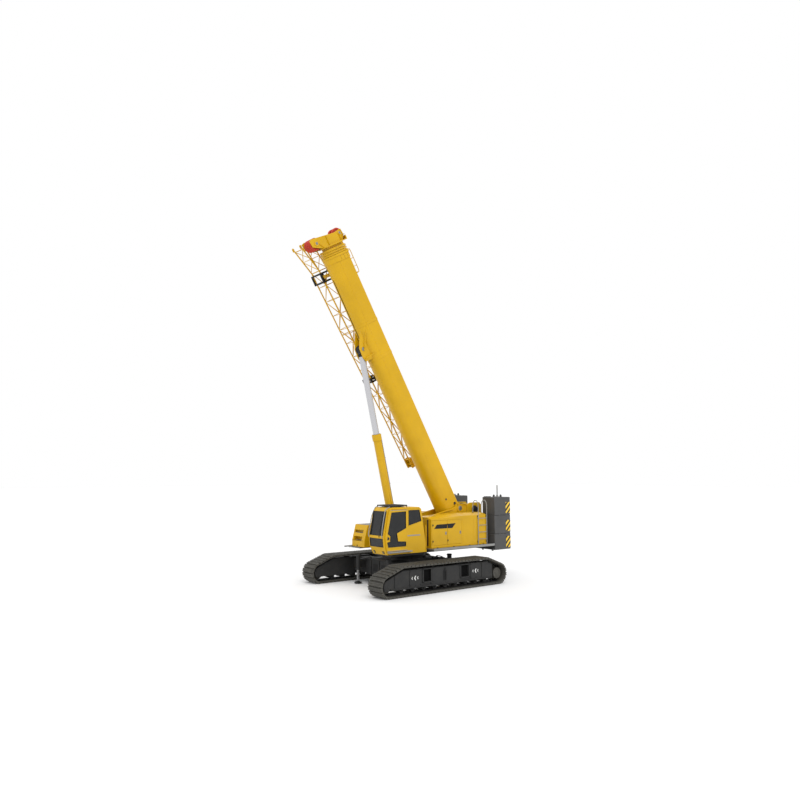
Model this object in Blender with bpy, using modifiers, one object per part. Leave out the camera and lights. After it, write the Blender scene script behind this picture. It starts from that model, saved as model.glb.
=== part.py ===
"""Crawler crane with a telescopic boom, as separate named pieces.

Frame: +X is forward, +Y is the crane's left (the cab side), +Z is up. The origin is on the
ground, on the slew axis. Metres.
"""
from math import asin, atan2, cos, hypot, pi, radians, sin

import bmesh
import bpy
from mathutils import Matrix, Vector

# ---------------------------------------------------------------- driving dimensions
GAP = 0.0003                 # between pieces that touch

# Crawlers
TRACK_LENGTH = 7.20          # over the shoes
TRACK_GAUGE = 5.09           # centre to centre, extended
SHOE_WIDTH = 0.92
TRACK_HEIGHT = 1.236         # top run, over the shoes
END_RADIUS = 0.477           # outside of the track round idler and sprocket
TOP_RUN_HALF = 2.45          # half length of the level top run
SHOE_COUNT = 76
SHOE_THICKNESS = 0.050
GROUSER_HEIGHT = 0.030
GROUSER_FOOT = 0.035         # half thickness of a grouser bar at its foot
GROUSER_TIP = 0.022          # and at its tip
LINK_HEIGHT = 0.075          # chain links inside the shoes
FRAME_WIDTH = 0.66           # track side frame, across
FRAME_BOTTOM = 0.30
FRAME_TOP = 1.05
FRAME_SETBACK = 0.03         # top corners of the frame, inside the ends of the level top run
FRAME_REAR_TOP = 0.90        # height of the frame's square end at the drive
CHEEK_RADIUS = 0.270         # frame's round front, beside the idler
CHEEK_END = radians(69)      # where the round turns into the slope
ROLLER_RADIUS = 0.105
ROLLER_HALF_WIDTH = 0.24
ROLLER_COUNT = 9
ROLLER_SETBACK = 0.723       # last roller, from the wheel's centre
CARRIER_RADIUS = 0.08
CARRIER_HALF_WIDTH = 0.16
CARRIERS_X = (1.45, 0.0, -1.45)
WHEEL_WIDTH = 0.16           # idler and sprocket rims
WHEEL_CLEAR = 0.006          # between a wheel and the track round it
IDLER_SLOT = 0.015           # between the idler and each cheek
DRIVE_CLEAR = 0.027          # between the sprocket and the frame's square end
IDLER_HUB = 0.174
DRIVE_HUB = 0.250            # round cover of the drive

# Carbody and telescopic cross beams
BEAM_X = 1.07                # cross beams sit at +X and -X of the slew axis
BEAM_WIDTH = 0.42
BEAM_HEIGHT = 0.48
BEAM_BOTTOM = 0.52
BEAM_CLEAR = 0.012           # all round, between a beam and its tunnel in the track frame
SLEEVE_HALF = 1.62           # how far the fixed sleeves reach from the middle
SLEEVE_WALL = 0.07
CARBODY_HALF_LENGTH = 1.42
CARBODY_HALF_WIDTH = 1.02
CARBODY_BOTTOM = 0.42
CARBODY_TOP = 1.14
BEAM_SETBACK = 0.07          # beam ends, inside the outer face of the track frame
RING_RADIUS = 0.95           # slewing ring
RING_HEIGHT = 0.20
TURNTABLE_BOTTOM = 1.40

# Jacks on the carbody
JACK_X = 1.77
JACK_Y = 1.14
JACK_RADIUS = 0.105
JACK_ROD_RADIUS = 0.070
JACK_TOP = 1.28
JACK_BARREL_BOTTOM = 0.62
JACK_FOOT_RADIUS = 0.18
JACK_FOOT_THICK = 0.035
JACK_BORE_CLEAR = 0.006
JACK_ARM_LENGTH = 0.50
JACK_ARM_HALF_WIDTH = 0.09
JACK_ARM_SPAN = (0.72, 1.10)  # bottom and top of an arm
JACK_FOOT_CLEAR = 0.040      # foot above the ground when the crane travels
JACK_ROD_TOP = 0.920         # leaves room to go up 0.30 and down 0.20

# Turntable
DECK_BOTTOM = 1.576
DECK_TOP = 1.640
DECK_HALF_WIDTH = 1.876
TURNTABLE_HALF_WIDTH = 0.98
TURNTABLE_FRONT = 0.95
TURNTABLE_REAR = -3.98
PIVOT_PLATE_Y = 0.500        # middle of each pivot side plate
PIVOT_PLATE_THICK = 0.060
PIVOT_X = -3.05              # boom foot pin
PIVOT_Z = 3.30
CYL_FOOT_X = 0.498           # luff cylinder foot pin
CYL_FOOT_Z = 2.00

# Cab
CAB_LEFT = 1.650
CAB_RIGHT = 0.590
CAB_BOTTOM = 1.530
CAB_ROOF = 3.520
CAB_WALL = 0.045
CAB_REAR_BOTTOM = 0.010
CAB_REAR_TOP = 0.330
CAB_NOSE_X = 2.440
CAB_NOSE_Z = 2.300
PANE_CLEAR = 0.0006          # between a pane and its opening
DOOR_THICK = 0.040
DOOR_REAR = 1.151

# Housings
HOOD_FACE = 1.620
HOOD_FRONT = -0.250
HOOD_REAR = -3.740
HOOD_EDGE_FRONT = 2.910      # top of the outer face at the front
HOOD_EDGE_REAR = 3.020       # and from the middle to the rear
HOOD_EDGE_X = -2.060         # where the top stops rising
HOOD_CROWN = 0.090           # the roof stands this much over the outer face
HOOD_SHOULDER = 0.320        # width of the sloping shoulder
HOOD_INNER = 0.640
HOOD_SKIN = 0.030
HOOD_DOOR_SEAMS = (-0.315, -1.218, -2.117)
HOOD_DOOR_BOTTOM = 1.760
HOOD_DOOR_TOP = 2.860
RIGHT_HOOD_FRONT = -0.900
STEP_BOX_FRONT_TOP = 1.594
STEP_BOX_FRONT = 1.785
STEP_BOX_REAR = 0.700
STEP_BOX_TOP = 2.630
STEP_BOX_INNER = 0.650
STEP_BOX_OUTER = 1.620

# Counterweight
CW_FRONT = -4.042
CW_REAR = -5.150
CW_HALF_WIDTH = 1.876
CW_TOWER_INNER = 1.063
CW_BOTTOM = 1.346
CW_SEAMS = (2.100, 2.970)
CW_TOP = 3.830

# Winch
WINCH_X = -4.050
WINCH_Z = 3.220
WINCH_DRUM_RADIUS = 0.200
WINCH_FLANGE_RADIUS = 0.285
WINCH_HALF_WIDTH = 0.420

# Boom, in its own frame: X along the boom from the foot pin, Z across it
BOOM_ANGLE = radians(59.6)
BOOM_DROP = 0.430            # centre line below the foot pin
BOOM_HALF_WIDTH = 0.432
BOOM_TOP = 0.548             # above the centre line
BOOM_BOTTOM = 0.500          # below the centre line
BOOM_TAIL = -0.360
FOOT_BOSS_RADIUS = 0.160
FOOT_BOSS_CLEAR = 0.040      # from the end of the foot boss to the middle of a pivot plate
BOOM_FRONT = 13.310
BOOM_WALL = 0.014
SECTION_STEP = 0.034         # each section is smaller by this, all round
SECTION_COUNT = 5
COLLAR_LENGTH = 0.095
COLLAR_GAP = 0.006
COLLAR_PROUD = 0.012         # collar outside the base section's skin
HEAD_START = 13.72
HEAD_END = 14.30
HEAD_PLATE_Y = 0.300
HEAD_PLATE_THICK = 0.040
SHEAVE_RADIUS = 0.270
UPPER_SHEAVE = (14.10, 0.150)
LOWER_SHEAVE = (14.05, -1.220)

# Luff cylinder; its rod pin is given in the boom's frame
ROD_PIN_A = 9.040
ROD_PIN_B = -1.150
BARREL_RADIUS = 0.185
BARREL_LENGTH = 4.850
ROD_RADIUS = 0.140
EYE_RADIUS = 0.195
ROD_EYE_HALF = 0.145         # half width of the eye at the rod's end
FOOT_EYE_HALF = 0.180        # half width of the eye at the barrel's foot
EYE_CLEAR = 0.012            # between an eye and the lugs beside it
BORE_START = 0.240           # from the foot pin, along the cylinder
ROD_START = 3.530            # the rod goes in 3.26 to lay the boom down, and out 1.12 to lift it
ROD_CLEAR = 0.006            # between rod and bore, all round

# Jib, stowed on the boom's right side; stations are (along boom, low, high, inner, outer)
JIB_STATIONS = [(14.25, -1.39, -0.76, -0.62, -1.25), (12.94, -1.00, -0.56, -0.62, -1.25),
                (9.84, -0.878, -0.433, -0.61, -1.25), (7.84, -0.781, -0.415, -0.723, -1.25),
                (5.44, -0.630, -0.354, -0.850, -1.25), (2.60, -0.542, -0.310, -0.916, -1.25)]
JIB_CHORD = 0.028
JIB_BRACE = 0.014
JIB_BAYS = 14
BRACKET_PLACES = (("front", 12.60, 0.46), ("rear", 7.40, 0.22))   # place and length along the boom
BRACKET_BAR = 0.045
BRACKET_ARM = 0.100
BRACKET_RIM = 0.070          # steel left round each window in a bracket

# Sizes that follow from the ones above
LINK_TOP = GROUSER_HEIGHT + SHOE_THICKNESS + LINK_HEIGHT   # inner face of the lower track run
WHEEL_RADIUS = END_RADIUS - LINK_TOP - WHEEL_CLEAR

COLOURS = {
    "yellow": ((0.68, 0.41, 0.022, 1.0), 0.38, 0.0),
    "dark_grey": ((0.040, 0.040, 0.042, 1.0), 0.60, 0.0),
    "weight_grey": ((0.105, 0.105, 0.108, 1.0), 0.55, 0.0),
    "deck_grey": ((0.16, 0.16, 0.16, 1.0), 0.50, 0.3),
    "chrome": ((0.60, 0.60, 0.63, 1.0), 0.18, 1.0),
    "glass": ((0.030, 0.032, 0.036, 1.0), 0.08, 0.0),
    "red": ((0.55, 0.090, 0.045, 1.0), 0.45, 0.0),
    "black": ((0.018, 0.018, 0.020, 1.0), 0.65, 0.0),
}

for old in list(bpy.data.objects):
    bpy.data.objects.remove(old, do_unlink=True)

crane = bpy.data.collections.new("crawler_crane")
tools = bpy.data.collections.new("cutters")
bpy.context.scene.collection.children.link(crane)
bpy.context.scene.collection.children.link(tools)


# ---------------------------------------------------------------- helpers
def material_for(obj, colour):
    """Give the object its own Principled material."""
    base, roughness, metallic = COLOURS[colour]
    mat = bpy.data.materials.new(obj.name)
    mat.use_nodes = True
    shader = mat.node_tree.nodes["Principled BSDF"]
    shader.inputs["Base Color"].default_value = base
    shader.inputs["Roughness"].default_value = roughness
    shader.inputs["Metallic"].default_value = metallic
    obj.data.materials.clear()
    obj.data.materials.append(mat)


def add_object(name, mesh, colour, parent=None):
    """Link a mesh as a finished piece, or as a cutter when it has no colour."""
    obj = bpy.data.objects.new(name, mesh)
    if colour:
        crane.objects.link(obj)
        material_for(obj, colour)
    else:
        tools.objects.link(obj)
        obj.hide_render = True
        obj.display_type = "WIRE"
    obj.parent = parent
    return obj


def mesh_from(bm, name, smooth_angle=0.6):
    """Turn a bmesh into a mesh that is shaded smooth up to the angle."""
    bmesh.ops.recalc_face_normals(bm, faces=bm.faces)
    mesh = bpy.data.meshes.new(name)
    bm.to_mesh(mesh)
    bm.free()
    mesh.shade_smooth()
    mesh.set_sharp_from_angle(angle=smooth_angle)
    return mesh


def box_mesh(name, lo, hi, bevel=0.0):
    """A box between two corners."""
    bm = bmesh.new()
    bmesh.ops.create_cube(bm, size=1.0)
    size = [b - a for a, b in zip(lo, hi)]
    middle = [(a + b) / 2 for a, b in zip(lo, hi)]
    bmesh.ops.scale(bm, vec=size, verts=bm.verts)
    bmesh.ops.translate(bm, vec=middle, verts=bm.verts)
    if bevel:
        bmesh.ops.bevel(bm, geom=list(bm.edges), offset=bevel, segments=1, affect="EDGES")
    return mesh_from(bm, name)


def box(name, lo, hi, colour, parent=None, bevel=0.0):
    return add_object(name, box_mesh(name, lo, hi, bevel), colour, parent)


def rod_mesh(name, start, end, radius, sides=16, end_radius=None):
    """A round bar, or a cone, between two points."""
    start = Vector(start)
    run = Vector(end) - start
    bm = bmesh.new()
    bmesh.ops.create_cone(bm, cap_ends=True, segments=sides, radius1=radius,
                          radius2=radius if end_radius is None else end_radius,
                          depth=run.length)
    turn = run.to_track_quat("Z", "Y").to_matrix().to_4x4()
    bmesh.ops.transform(bm, matrix=Matrix.Translation(start + run / 2) @ turn, verts=bm.verts)
    return mesh_from(bm, name)


def rod(name, start, end, radius, colour, parent=None, sides=16, end_radius=None):
    return add_object(name, rod_mesh(name, start, end, radius, sides, end_radius), colour, parent)


def welded_mesh(guide, name):
    """The closed mesh of a curve object, which is then removed."""
    bpy.context.view_layer.update()
    graph = bpy.context.evaluated_depsgraph_get()
    mesh = bpy.data.meshes.new_from_object(guide.evaluated_get(graph))
    mesh.name = name
    mesh.transform(guide.matrix_world)
    bpy.data.objects.remove(guide, do_unlink=True)
    bm = bmesh.new()
    bm.from_mesh(mesh)
    bmesh.ops.remove_doubles(bm, verts=bm.verts, dist=0.0001)
    bmesh.ops.recalc_face_normals(bm, faces=bm.faces)
    bm.to_mesh(mesh)
    bm.free()
    mesh.shade_smooth()
    mesh.set_sharp_from_angle(angle=0.6)
    return mesh


def tube(name, points, radius, colour, parent=None, resolution=1):
    """A round bar bent through the points."""
    curve = bpy.data.curves.new(name, "CURVE")
    curve.dimensions = "3D"
    curve.bevel_depth = radius
    curve.bevel_resolution = resolution
    curve.use_fill_caps = True
    spline = curve.splines.new("POLY")
    spline.points.add(len(points) - 1)
    for point, place in zip(spline.points, points):
        point.co = (*place, 1.0)
    guide = bpy.data.objects.new(name + "_guide", curve)
    tools.objects.link(guide)
    return add_object(name, welded_mesh(guide, name), colour, parent)


def plate(name, outline, low, high, colour, parent=None, holes=()):
    """A flat outline in XZ, between two values of Y. Holes are more outlines."""
    curve = bpy.data.curves.new(name, "CURVE")
    curve.dimensions = "2D"
    curve.fill_mode = "BOTH"
    curve.extrude = (high - low) / 2
    for ring in (outline, *holes):
        spline = curve.splines.new("POLY")
        spline.points.add(len(ring) - 1)
        for point, (x, z) in zip(spline.points, ring):
            point.co = (x, z, 0.0, 1.0)
        spline.use_cyclic_u = True
    guide = bpy.data.objects.new(name + "_outline", curve)
    tools.objects.link(guide)
    guide.matrix_world = (Matrix.Translation((0.0, (low + high) / 2, 0.0))
                          @ Matrix.Rotation(pi / 2, 4, "X"))
    return add_object(name, welded_mesh(guide, name), colour, parent)


def turned(name, profile, centre, colour, parent=None, steps=32):
    """A profile of (radius, height) from top to bottom, turned round a Y axis."""
    bm = bmesh.new()
    ring = [bm.verts.new((radius, 0.0, height)) for radius, height in profile]
    for first, second in zip(ring, ring[1:]):
        bm.edges.new((first, second))
    mesh = bpy.data.meshes.new(name)
    bm.to_mesh(mesh)
    bm.free()
    obj = add_object(name, mesh, colour, parent)
    obj.matrix_basis = Matrix.Translation(centre) @ Matrix.Rotation(-pi / 2, 4, "X")
    screw = obj.modifiers.new("turn", "SCREW")
    screw.steps = steps
    screw.render_steps = steps
    screw.use_merge_vertices = True
    screw.merge_threshold = 0.0001
    return obj


def combine(obj, others, operation):
    """Boolean the other objects into, or out of, the object."""
    for other in others:
        step = obj.modifiers.new(operation.lower(), "BOOLEAN")
        step.operation = operation
        step.solver = "EXACT"
        step.object = other


def cut(obj, *others):
    combine(obj, others, "DIFFERENCE")


def join(obj, *others):
    combine(obj, others, "UNION")


def empty(name, place, parent=None, turn_y=0.0):
    """A pivot on a joint's axis."""
    pivot = bpy.data.objects.new(name, None)
    crane.objects.link(pivot)
    pivot.parent = parent
    pivot.location = place
    pivot.rotation_euler = (0.0, turn_y, 0.0)
    return pivot


def arc(cx, cz, radius, start, end, count):
    """Points on an arc, by angle from +X towards +Z."""
    return [(cx + radius * cos(start + (end - start) * i / count),
             cz + radius * sin(start + (end - start) * i / count)) for i in range(count + 1)]


# ---------------------------------------------------------------- crawlers
def track_path(offset, arc_steps):
    """The track's closed side view, offset inwards from the shoes' outside."""
    radius = END_RADIUS - offset
    end_x = TRACK_LENGTH / 2 - END_RADIUS
    rise = TRACK_HEIGHT - offset - END_RADIUS
    run = end_x - TOP_RUN_HALF
    reach = hypot(run, rise)
    lean = atan2(rise, run) + angle_of_cosine(radius / reach)
    front = arc(end_x, END_RADIUS, radius, -pi / 2, pi - lean, arc_steps)
    rear = [(-x, z) for x, z in reversed(front)]
    top = [(TOP_RUN_HALF, TRACK_HEIGHT - offset), (-TOP_RUN_HALF, TRACK_HEIGHT - offset)]
    return front + top + rear


def angle_of_cosine(value):
    """Angle whose cosine is the value."""
    return atan2((1 - value * value) ** 0.5, value)


def even_points(path, count):
    """Points at even steps along a closed path, with the outward normal at each."""
    closed = path + path[:1]
    lengths = [hypot(b[0] - a[0], b[1] - a[1]) for a, b in zip(closed, closed[1:])]
    step = sum(lengths) / count
    result = []
    leg = 0
    passed = 0.0
    for i in range(count):
        target = i * step
        while passed + lengths[leg] < target:
            passed += lengths[leg]
            leg += 1
        share = (target - passed) / lengths[leg]
        a = closed[leg]
        b = closed[leg + 1]
        along = ((b[0] - a[0]) / lengths[leg], (b[1] - a[1]) / lengths[leg])
        result.append((a[0] + share * (b[0] - a[0]), a[1] + share * (b[1] - a[1]), along[1], -along[0]))
    return result


def shoe_outline():
    """Outer side view of the loop: each shoe has a flat plate and one grouser bar."""
    root = track_path(GROUSER_HEIGHT, 90)
    outline = []
    for i, (x, z, nx, nz) in enumerate(even_points(root, SHOE_COUNT * 2)):
        if i % 2:
            continue
        tx, tz = -nz, nx
        for along, lift in ((-GROUSER_FOOT, 0.0), (-GROUSER_TIP, GROUSER_HEIGHT),
                            (GROUSER_TIP, GROUSER_HEIGHT), (GROUSER_FOOT, 0.0)):
            outline.append((x + tx * along + nx * lift, z + tz * along + nz * lift))
    return outline


def frame_outline():
    """Side view of a track frame: round beside the idler in front, square before the drive."""
    end_x = TRACK_LENGTH / 2 - END_RADIUS
    start = -asin((END_RADIUS - FRAME_BOTTOM) / CHEEK_RADIUS)
    corner = TOP_RUN_HALF - FRAME_SETBACK
    square = end_x - WHEEL_RADIUS - DRIVE_CLEAR
    return arc(end_x, END_RADIUS, CHEEK_RADIUS, start, CHEEK_END, 8) + [
        (corner, FRAME_TOP), (-corner, FRAME_TOP), (-square, FRAME_REAR_TOP), (-square, FRAME_BOTTOM)]


def crawler(side, name, pivot):
    """One crawler: frame with its rollers, track loop, idler and sprocket."""
    middle = side * TRACK_GAUGE / 2
    low = middle - FRAME_WIDTH / 2
    high = middle + FRAME_WIDTH / 2
    end_x = TRACK_LENGTH / 2 - END_RADIUS
    plate("track_loop_" + name, shoe_outline(), middle - SHOE_WIDTH / 2, middle + SHOE_WIDTH / 2,
          "black", pivot, holes=[track_path(LINK_TOP, 16)])
    frame = plate("track_frame_" + name, frame_outline(), low, high, "dark_grey", pivot)
    for i, x in enumerate((BEAM_X, -BEAM_X)):
        across = BEAM_WIDTH / 2 + BEAM_CLEAR
        cut(frame, box(f"beam_tunnel_{name}_{i}", (x - across, low - 0.1, BEAM_BOTTOM - BEAM_CLEAR),
                       (x + across, high + 0.1, BEAM_BOTTOM + BEAM_HEIGHT + BEAM_CLEAR), None))
    slot = WHEEL_WIDTH / 2 + IDLER_SLOT
    cut(frame, box("idler_slot_" + name, (end_x - WHEEL_RADIUS - DRIVE_CLEAR, middle - slot, 0.0),
                   (TRACK_LENGTH / 2, middle + slot, TRACK_HEIGHT), None))
    spread = end_x - ROLLER_SETBACK
    for i in range(ROLLER_COUNT):
        x = -spread + 2 * spread * i / (ROLLER_COUNT - 1)
        z = LINK_TOP + ROLLER_RADIUS + GAP
        join(frame, rod(f"roller_{name}_{i}", (x, middle - ROLLER_HALF_WIDTH, z),
                        (x, middle + ROLLER_HALF_WIDTH, z), ROLLER_RADIUS, None, sides=14))
    carrier_z = TRACK_HEIGHT - LINK_TOP - GAP - CARRIER_RADIUS
    for i, x in enumerate(CARRIERS_X):
        join(frame, rod(f"carrier_{name}_{i}", (x, middle - CARRIER_HALF_WIDTH, carrier_z),
                        (x, middle + CARRIER_HALF_WIDTH, carrier_z), CARRIER_RADIUS, None, sides=14))
    half = WHEEL_WIDTH / 2
    pin = slot - GAP
    idler = [(0.0, pin), (IDLER_HUB, pin), (IDLER_HUB, half), (WHEEL_RADIUS, half)]
    cover = FRAME_WIDTH / 2 - 0.02
    sprocket = [(0.0, cover), (DRIVE_HUB - 0.03, cover), (DRIVE_HUB, cover - 0.03), (DRIVE_HUB, half),
                (WHEEL_RADIUS, half)]
    for x, what, outer in ((end_x, "idler_", idler), (-end_x, "sprocket_", sprocket)):
        profile = outer + [(radius, -y) for radius, y in reversed(outer)]
        turned(what + name, profile, (x, middle, END_RADIUS), "dark_grey", pivot)


# ---------------------------------------------------------------- carbody
def carbody():
    """Centre box, sleeves, cross beams and jack barrels, as one welded frame."""
    body = box("carbody", (-CARBODY_HALF_LENGTH, -CARBODY_HALF_WIDTH, CARBODY_BOTTOM),
               (CARBODY_HALF_LENGTH, CARBODY_HALF_WIDTH, CARBODY_TOP), "dark_grey")
    beam_end = TRACK_GAUGE / 2 + FRAME_WIDTH / 2 - BEAM_SETBACK
    across = BEAM_WIDTH / 2
    beam_top = BEAM_BOTTOM + BEAM_HEIGHT
    for i, x in enumerate((BEAM_X, -BEAM_X)):
        join(body, box(f"sleeve_{i}",
                       (x - across - SLEEVE_WALL, -SLEEVE_HALF, BEAM_BOTTOM - SLEEVE_WALL),
                       (x + across + SLEEVE_WALL, SLEEVE_HALF, beam_top + SLEEVE_WALL), None))
        join(body, box(f"cross_beam_{i}", (x - across, -beam_end, BEAM_BOTTOM),
                       (x + across, beam_end, beam_top), None))
    for i, (x, y) in enumerate(jack_places()):
        root = x - JACK_ARM_LENGTH if x > 0 else x + JACK_ARM_LENGTH
        join(body, box(f"jack_arm_{i}", (min(x, root), y - JACK_ARM_HALF_WIDTH, JACK_ARM_SPAN[0]),
                       (max(x, root), y + JACK_ARM_HALF_WIDTH, JACK_ARM_SPAN[1]), None))
        join(body, rod(f"jack_barrel_{i}", (x, y, JACK_BARREL_BOTTOM), (x, y, JACK_TOP), JACK_RADIUS,
                       None))
        cut(body, rod(f"jack_bore_{i}", (x, y, JACK_BARREL_BOTTOM - 0.1), (x, y, JACK_TOP - 0.06),
                      JACK_ROD_RADIUS + JACK_BORE_CLEAR, None))
    join(body, rod("ring_seat", (0, 0, CARBODY_TOP - 0.05), (0, 0, CARBODY_TOP + 0.05),
                   RING_RADIUS + 0.08, None, sides=32))
    return body


def jack_places():
    return [(JACK_X, JACK_Y), (JACK_X, -JACK_Y), (-JACK_X, JACK_Y), (-JACK_X, -JACK_Y)]


def jack_foot(name, x, y):
    """Jack rod with its round foot."""
    bottom = JACK_FOOT_CLEAR
    pivot = empty(name + "_axis", (x, y, 0.0))
    foot = rod(name, (0, 0, bottom), (0, 0, bottom + JACK_FOOT_THICK), JACK_FOOT_RADIUS, "black", pivot,
               sides=20)
    join(foot, rod(name + "_rod", (0, 0, bottom + JACK_FOOT_THICK / 2), (0, 0, JACK_ROD_TOP),
                   JACK_ROD_RADIUS, None, pivot))
    return foot


# ---------------------------------------------------------------- turntable
def slew_ring():
    """Lower, fixed half of the slewing ring."""
    low = CARBODY_TOP + 0.05 + GAP
    high = TURNTABLE_BOTTOM - 0.006
    return rod("slew_ring", (0, 0, low), (0, 0, high), RING_RADIUS, "dark_grey", sides=36)


def platform(pivot):
    """Turntable frame: belly, floor and the two pivot side plates."""
    belly = box("turntable", (TURNTABLE_REAR, -TURNTABLE_HALF_WIDTH, TURNTABLE_BOTTOM),
                (TURNTABLE_FRONT, CAB_RIGHT - 0.015, DECK_TOP), "dark_grey", pivot)
    join(belly, box("turntable_left", (TURNTABLE_REAR + 0.01, 0.40, TURNTABLE_BOTTOM + 0.01),
                    (CAB_REAR_BOTTOM - 0.03, TURNTABLE_HALF_WIDTH, DECK_TOP - 0.002), None, pivot))
    join(belly, box("cab_bearer", (0.05, 0.42, TURNTABLE_BOTTOM + 0.02),
                    (1.95, 1.50, CAB_BOTTOM - GAP), None, pivot))
    return belly


def pivot_plates(pivot):
    """Twin plates that carry the boom foot, with the lugs of the luff cylinder between them."""
    floor = DECK_TOP + GAP
    top = PIVOT_Z + 0.21
    outline = [(0.80, floor), (0.80, 2.16), (0.20, 2.35), (-0.815, 2.937), (-2.56, 3.295), (-2.78, 3.40),
               (-2.83, top), (-3.49, top), (-3.49, floor)]
    base = box("pivot_frame", (-3.46, -PIVOT_PLATE_Y, floor + 0.005), (0.77, PIVOT_PLATE_Y, floor + 0.055),
               "yellow", pivot)
    for side in (-1, 1):
        y = side * PIVOT_PLATE_Y
        web = plate(f"pivot_plate_{side}", outline, y - PIVOT_PLATE_THICK / 2, y + PIVOT_PLATE_THICK / 2,
                    None, pivot)
        join(base, web)
        lug = [(CYL_FOOT_X - 0.30, floor + 0.02), (CYL_FOOT_X - 0.17, CYL_FOOT_Z + 0.06),
               (CYL_FOOT_X - 0.06, CYL_FOOT_Z + 0.16), (CYL_FOOT_X + 0.08, CYL_FOOT_Z + 0.14),
               (CYL_FOOT_X + 0.17, CYL_FOOT_Z), (CYL_FOOT_X + 0.26, floor + 0.02)]
        inner = FOOT_EYE_HALF + EYE_CLEAR
        join(base, plate(f"cylinder_lug_{side}", lug, min(side * inner, side * (inner + 0.06)),
                         max(side * inner, side * (inner + 0.06)), None, pivot))
    return base


def decks(pivot):
    """Grey walkways along both sides of the turntable."""
    inner = TURNTABLE_HALF_WIDTH + GAP
    rear = CW_FRONT + 0.02
    box("deck_left", (rear, inner, DECK_BOTTOM), (-0.18, DECK_HALF_WIDTH, DECK_TOP), "deck_grey", pivot)
    box("deck_right", (rear, -DECK_HALF_WIDTH, DECK_BOTTOM), (1.80, -inner, DECK_TOP), "deck_grey", pivot)


# ---------------------------------------------------------------- cab
def cab_profile(inset=0.0):
    """Side view of the cab, shrunk by the inset."""
    return [(CAB_REAR_BOTTOM + inset, CAB_BOTTOM + inset),
            (2.205 - inset, CAB_BOTTOM + inset),
            (2.395 - inset, 1.870 + inset * 0.5),
            (CAB_NOSE_X - inset, CAB_NOSE_Z),
            (2.225 - inset, 3.360 - inset * 0.3),
            (2.110 - inset, CAB_ROOF - 0.02 - inset),
            (1.900 - inset, CAB_ROOF - inset),
            (0.450 + inset, CAB_ROOF - 0.02 - inset),
            (CAB_REAR_TOP + inset, CAB_ROOF - 0.11 - inset)]


DOOR_WINDOW = [(2.026, 3.302), (1.245, 3.330), (1.240, 2.625), (1.743, 2.427), (1.677, 2.074),
               (1.240, 2.043), (1.240, 1.861), (2.195, 1.860), (2.255, 2.059), (2.099, 2.087),
               (2.089, 2.324), (2.220, 2.423)]
SIDE_WINDOW = [(1.049, 3.366), (0.444, 3.372), (0.336, 2.894), (1.050, 2.727)]
RIGHT_WINDOW = [(0.60, 2.30), (2.05, 2.30), (1.98, 3.30), (0.62, 3.34)]
DOORWAY = [(1.200, 1.700), (2.250, 1.700), (2.330, 2.300), (2.150, 3.330), (1.200, 3.370)]
WINDSHIELD = (2.345, 3.345)          # bottom and top of each pane in the cab's front and rear
LOWER_WINDSHIELD = (1.870, 2.215)
REAR_WINDOW = (2.62, 3.30)
CAB_POST = 0.055                     # from the cab's side to a front pane
REAR_POST = 0.080                    # a rear pane is narrower by this at each side
PANE_DEPTH = 0.010                   # pane behind the cab's surface
PANE_THICK = 0.012


def cab(pivot):
    """Hollow cab shell with its windows and doorway cut through, and its glass."""
    left = CAB_LEFT - DOOR_THICK - 0.006
    mid_y = (CAB_RIGHT + left) / 2
    half = (left - CAB_RIGHT) / 2 - CAB_POST
    rear_half = half - REAR_POST
    shell = plate("cab_shell", cab_profile(), CAB_RIGHT, left, "yellow", pivot)
    cut(shell, plate("cab_hollow", cab_profile(CAB_WALL), CAB_RIGHT + CAB_WALL, left - CAB_WALL, None,
                     pivot))
    through = CAB_WALL + 0.05
    cut(shell, plate("cab_doorway", DOORWAY, left - through, left + 0.05, None, pivot),
        plate("cab_side_opening", SIDE_WINDOW, left - through, left + 0.05, None, pivot),
        plate("cab_right_opening", RIGHT_WINDOW, CAB_RIGHT - 0.05, CAB_RIGHT + through, None, pivot),
        box("cab_front_opening", (2.10, mid_y - half, WINDSHIELD[0]),
            (2.60, mid_y + half, WINDSHIELD[1]), None, pivot),
        box("cab_lower_opening", (2.30, mid_y - half, LOWER_WINDSHIELD[0]),
            (2.60, mid_y + half, LOWER_WINDSHIELD[1]), None, pivot),
        box("cab_rear_opening", (-0.10, mid_y - rear_half, REAR_WINDOW[0]),
            (0.42, mid_y + rear_half, REAR_WINDOW[1]), None, pivot))
    side_pane("side_window", SIDE_WINDOW, left - PANE_DEPTH - PANE_THICK, pivot)
    side_pane("right_window", RIGHT_WINDOW, CAB_RIGHT + PANE_DEPTH, pivot)
    end_pane("windshield", WINDSHIELD, front_face, -1, mid_y, half, pivot)
    end_pane("lower_windshield", LOWER_WINDSHIELD, front_face, -1, mid_y, half, pivot)
    end_pane("rear_window", REAR_WINDOW, rear_face, 1, mid_y, rear_half, pivot)
    return shell


def side_pane(name, outline, low, pivot):
    """A pane in a side of the cab, a little smaller than its opening."""
    pane = plate(name, outline, low, low + PANE_THICK, "glass", pivot)
    inset_outline(pane, outline, PANE_CLEAR)


def end_pane(name, heights, face, inward, mid_y, half, pivot):
    """A pane in the cab's front or rear, along its sloping face."""
    low = heights[0] + GAP
    high = heights[1] - GAP
    near = inward * PANE_DEPTH
    far = inward * (PANE_DEPTH + PANE_THICK)
    outline = [(face(low) + far, low), (face(low) + near, low),
               (face(high) + near, high), (face(high) + far, high)]
    plate(name, outline, mid_y - half + GAP, mid_y + half - GAP, "glass", pivot)


def rear_face(z):
    """X of the cab's sloping rear face at a height."""
    share = (z - CAB_BOTTOM) / (CAB_ROOF - 0.11 - CAB_BOTTOM)
    return CAB_REAR_BOTTOM + share * (CAB_REAR_TOP - CAB_REAR_BOTTOM)


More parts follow.
